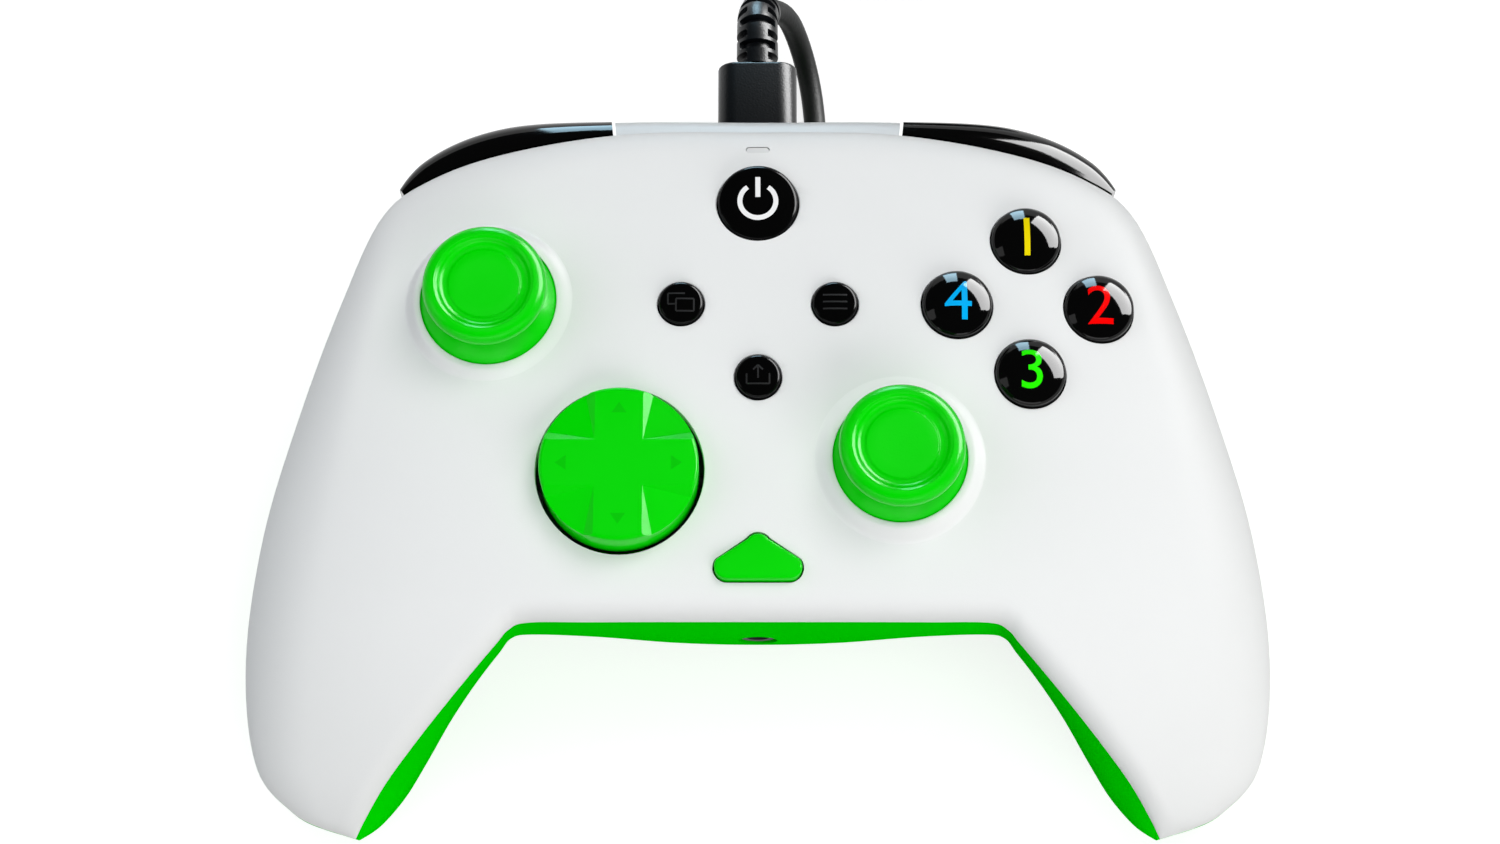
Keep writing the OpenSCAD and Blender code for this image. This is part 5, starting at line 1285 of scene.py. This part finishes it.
def drape(bm, at, side_top, r, dome):
    """Lays flat marks on a button's dome."""
    for _ in range(4):
        long = [e for e in bm.edges if e.calc_length() > MARK_STEP]
        if not long:
            break
        bmesh.ops.subdivide_edges(bm, edges=long, cuts=1)
        bmesh.ops.triangulate(bm, faces=bm.faces)
    for v in bm.verts:
        distance = math.hypot(v.co.x, v.co.y)
        v.co = (v.co.x + at[0], v.co.y + at[1], side_top + dome_height(r, dome, distance) + MARK_LIFT)
    bmesh.ops.recalc_face_normals(bm, faces=bm.faces)
    if sum(f.normal.z for f in bm.faces) < 0:
        bmesh.ops.reverse_faces(bm, faces=bm.faces)


def numeral(text, tall):
    """A numeral as a flat mesh, centred on the origin."""
    data = bpy.data.curves.new("numeral", "FONT")
    data.body, data.size, data.align_x, data.resolution_u = text, 1.0, "CENTER", 6
    own = bpy.data.objects.new("numeral", data)
    bpy.context.collection.objects.link(own)
    bm = bmesh.new()
    bm.from_mesh(own.evaluated_get(bpy.context.evaluated_depsgraph_get()).to_mesh())
    bpy.data.objects.remove(own)
    bpy.data.curves.remove(data)
    xs, ys = [v.co.x for v in bm.verts], [v.co.y for v in bm.verts]
    scale = tall / (max(ys) - min(ys))
    bmesh.ops.translate(bm, verts=bm.verts, vec=(-(min(xs) + max(xs)) / 2, -(min(ys) + max(ys)) / 2, 0))
    bmesh.ops.scale(bm, verts=bm.verts, vec=(scale, scale, 1))
    bmesh.ops.triangulate(bm, faces=bm.faces)
    return bm


def bar(bm, x0, y0, x1, y1, w):
    """A flat stroke from one point to another."""
    along = Vector((x1 - x0, y1 - y0)).normalized()
    side = Vector((-along.y, along.x)) * w / 2
    a, b = Vector((x0, y0)), Vector((x1, y1))
    bm.faces.new([bm.verts.new((*p, 0)) for p in (a - side, b - side, b + side, a + side)])


def ring_stroke(bm, r, w, start, end, steps=48):
    """A flat stroke along an arc about the origin."""
    inner, outer = (arc(0, 0, r + k * w / 2, start, end, steps) for k in (-1, 1))
    placed_grid(bm, 1, steps, lambda u, v: (*(outer if u > 0.5 else inner)[round(v * steps)], 0))


class PAD_OT_action_buttons(bpy.types.Operator):
    """Four glossy domes, each with a coloured numeral"""
    bl_idname = "pad.action_buttons"
    bl_label = "Action Buttons"

    def execute(self, context):
        form, at, made = form_and_finishes()
        for name, text in (("north", "1"), ("east", "2"), ("south", "3"), ("west", "4")):
            bm, side_top, cap = turned_button(form, at[name], form.action_d, **ACTION_TOP)
            body = name + "_button"
            piece(name + "_dome", bm, body, made["gloss"], (body,), sharp=50)
            mark = numeral(text, NUMERAL_TALL)
            drape(mark, at[name], side_top, cap, ACTION_TOP["dome"])
            piece(name + "_numeral", mark, body, made[name + "_mark"])
        return {"FINISHED"}


class PAD_OT_menu_buttons(bpy.types.Operator):
    """Home button with a standby sign and three small buttons with engraved signs"""
    bl_idname = "pad.menu_buttons"
    bl_label = "Home and Menu Buttons"

    def execute(self, context):
        form, at, made = form_and_finishes()
        bm, side_top, cap = turned_button(form, at["home"], form.home_d, **HOME_TOP)
        piece("home_dome", bm, "home_button", made["button_black"], ("home_button",), sharp=50)
        sign = bmesh.new()
        ring_stroke(sign, 2.7, HOME_STROKE, 125, 415)
        bar(sign, 0, 0.6, 0, 3.9, HOME_STROKE)
        drape(sign, at["home"], side_top, cap, HOME_TOP["dome"])
        piece("home_sign", sign, "home_button", made["white_mark"])
        for name in SMALL_BUTTONS:
            body = name + "_button"
            bm, side_top, cap = turned_button(form, at[name], form.small_d, **SMALL_TOP)
            piece(name + "_dome", bm, body, made["button_black"], (body,), sharp=50)
            sign = bmesh.new()
            for stroke in self.strokes(name):
                bar(sign, *[SMALL_SIGN * v for v in stroke], SMALL_STROKE)
            drape(sign, at[name], side_top, cap, SMALL_TOP["dome"])
            piece(name + "_sign", sign, body, made["engraved"])
        return {"FINISHED"}

    def strokes(self, name):
        """Ends of the strokes of a small button's sign."""
        if name == "menu":
            return [(-1.5, y, 1.5, y) for y in (-0.9, 0, 0.9)]
        if name == "view":
            return [(-1.6, 1.1, 0.5, 1.1), (-1.6, 1.1, -1.6, -0.3), (-1.6, -0.3, -0.7, -0.3),
                    (-0.6, 0.4, 1.6, 0.4), (-0.6, 0.4, -0.6, -1.2), (-0.6, -1.2, 1.6, -1.2),
                    (1.6, 0.4, 1.6, -1.2)]
        return [(-1.4, 0.2, -1.4, -1.1), (-1.4, -1.1, 1.4, -1.1), (1.4, -1.1, 1.4, 0.2), (0, -0.4, 0, 1.3),
                (-0.6, 0.7, 0, 1.3), (0.6, 0.7, 0, 1.3)]


KEY_RISE, KEY_TALL, KEY_EDGE = 0.9, 5.5, 0.45
KEY_STEM_R, KEY_STEM_LOW, KEY_STEM_SHIFT = 1.6, 35.3, 0.4


class PAD_OT_audio_button(bpy.types.Operator):
    """Rounded triangle under the sticks"""
    bl_idname = "pad.audio_button"
    bl_label = "Audio Button"

    def execute(self, context):
        form, at, made = form_and_finishes()
        x, y = at["audio"]
        top = form.face(x, y) + KEY_RISE
        foot = top - KEY_TALL
        bm = bmesh.new()
        prism(bm, audio_outline(0, (x, y)), foot, top)
        rounded_edges(bm, KEY_EDGE, 4, 60, lambda e: all(v.co.z > top - 1 for v in e.verts))
        stem = [(0, KEY_STEM_LOW), (KEY_STEM_R, KEY_STEM_LOW), (KEY_STEM_R, foot + 0.1), (0, foot + 0.1)]
        lathe(bm, stem, (x, y - KEY_STEM_SHIFT, 0), 32)
        outward(bm)
        piece("audio_key", bm, "audio_button", made["accent"], ("audio_button",), sharp=40)
        return {"FINISHED"}


FRAME_LOOKS = {
    "grey_bridge": "bridge", "frame_plastic": "dark_plastic", "board": "board", "steel": "steel",
    "brass": "brass", "grey_rubber": "rubber", "clear": "frosted", "cord_black": "cord",
    "plug_black": "plug", "black_gloss": "gloss", "green_gloss": "accent", "green_rubber": "cap",
    "white_shell": "face", "green_shell": "back"}


class PAD_OT_carried_parts(bpy.types.Operator):
    """Finishes for the frame's own parts that stay in view"""
    bl_idname = "pad.carried_parts"
    bl_label = "Inner Parts"

    def execute(self, context):
        made = finishes()
        for part in frame["record"]["subparts"]:
            obj = frame["nodes"][part["node"]]
            if not obj.material_slots:
                obj.data.materials.append(None)
            for spot in obj.material_slots:
                spot.link = "OBJECT"
                spot.material = made[FRAME_LOOKS[part["material_slot"]]]
        return {"FINISHED"}


class PAD_PT_panel(bpy.types.Panel):
    """Sizes, colours and steps of the gamepad"""
    bl_idname = "PAD_PT_panel"
    bl_label = "Gamepad"
    bl_space_type = "VIEW_3D"
    bl_region_type = "UI"
    bl_category = "Gamepad"

    def draw(self, context):
        for step in STEPS:
            self.layout.operator(step.bl_idname)
        for group in (context.scene.pad_sizes, context.scene.pad_colours, context.scene.pad_stage):
            box = self.layout.box()
            for name in type(group).__annotations__:
                box.prop(group, name)


STEPS = (
    PAD_OT_stage, PAD_OT_cable, PAD_OT_carried_parts, PAD_OT_front_shell, PAD_OT_back_shell, PAD_OT_rear_band,
    PAD_OT_triggers, PAD_OT_sticks, PAD_OT_direction_pad, PAD_OT_action_buttons, PAD_OT_menu_buttons,
    PAD_OT_audio_button)
GROUPS = (("pad_sizes", PadSizes), ("pad_colours", PadColours), ("pad_stage", PadStage))
CLASSES = tuple(group for _, group in GROUPS) + STEPS + (PAD_PT_panel,)


def register():
    for cls in CLASSES:
        bpy.utils.register_class(cls)
    for name, group in GROUPS:
        setattr(bpy.types.Scene, name, bpy.props.PointerProperty(type=group))


def unregister():
    for name, _ in GROUPS:
        delattr(bpy.types.Scene, name)
    for cls in reversed(CLASSES):
        bpy.utils.unregister_class(cls)


def main():
    register()
    for step in STEPS:
        group, name = step.bl_idname.split(".")
        getattr(getattr(bpy.ops, group), name)()
    bpy.context.view_layer.update()


if __name__ == "__main__":
    main()
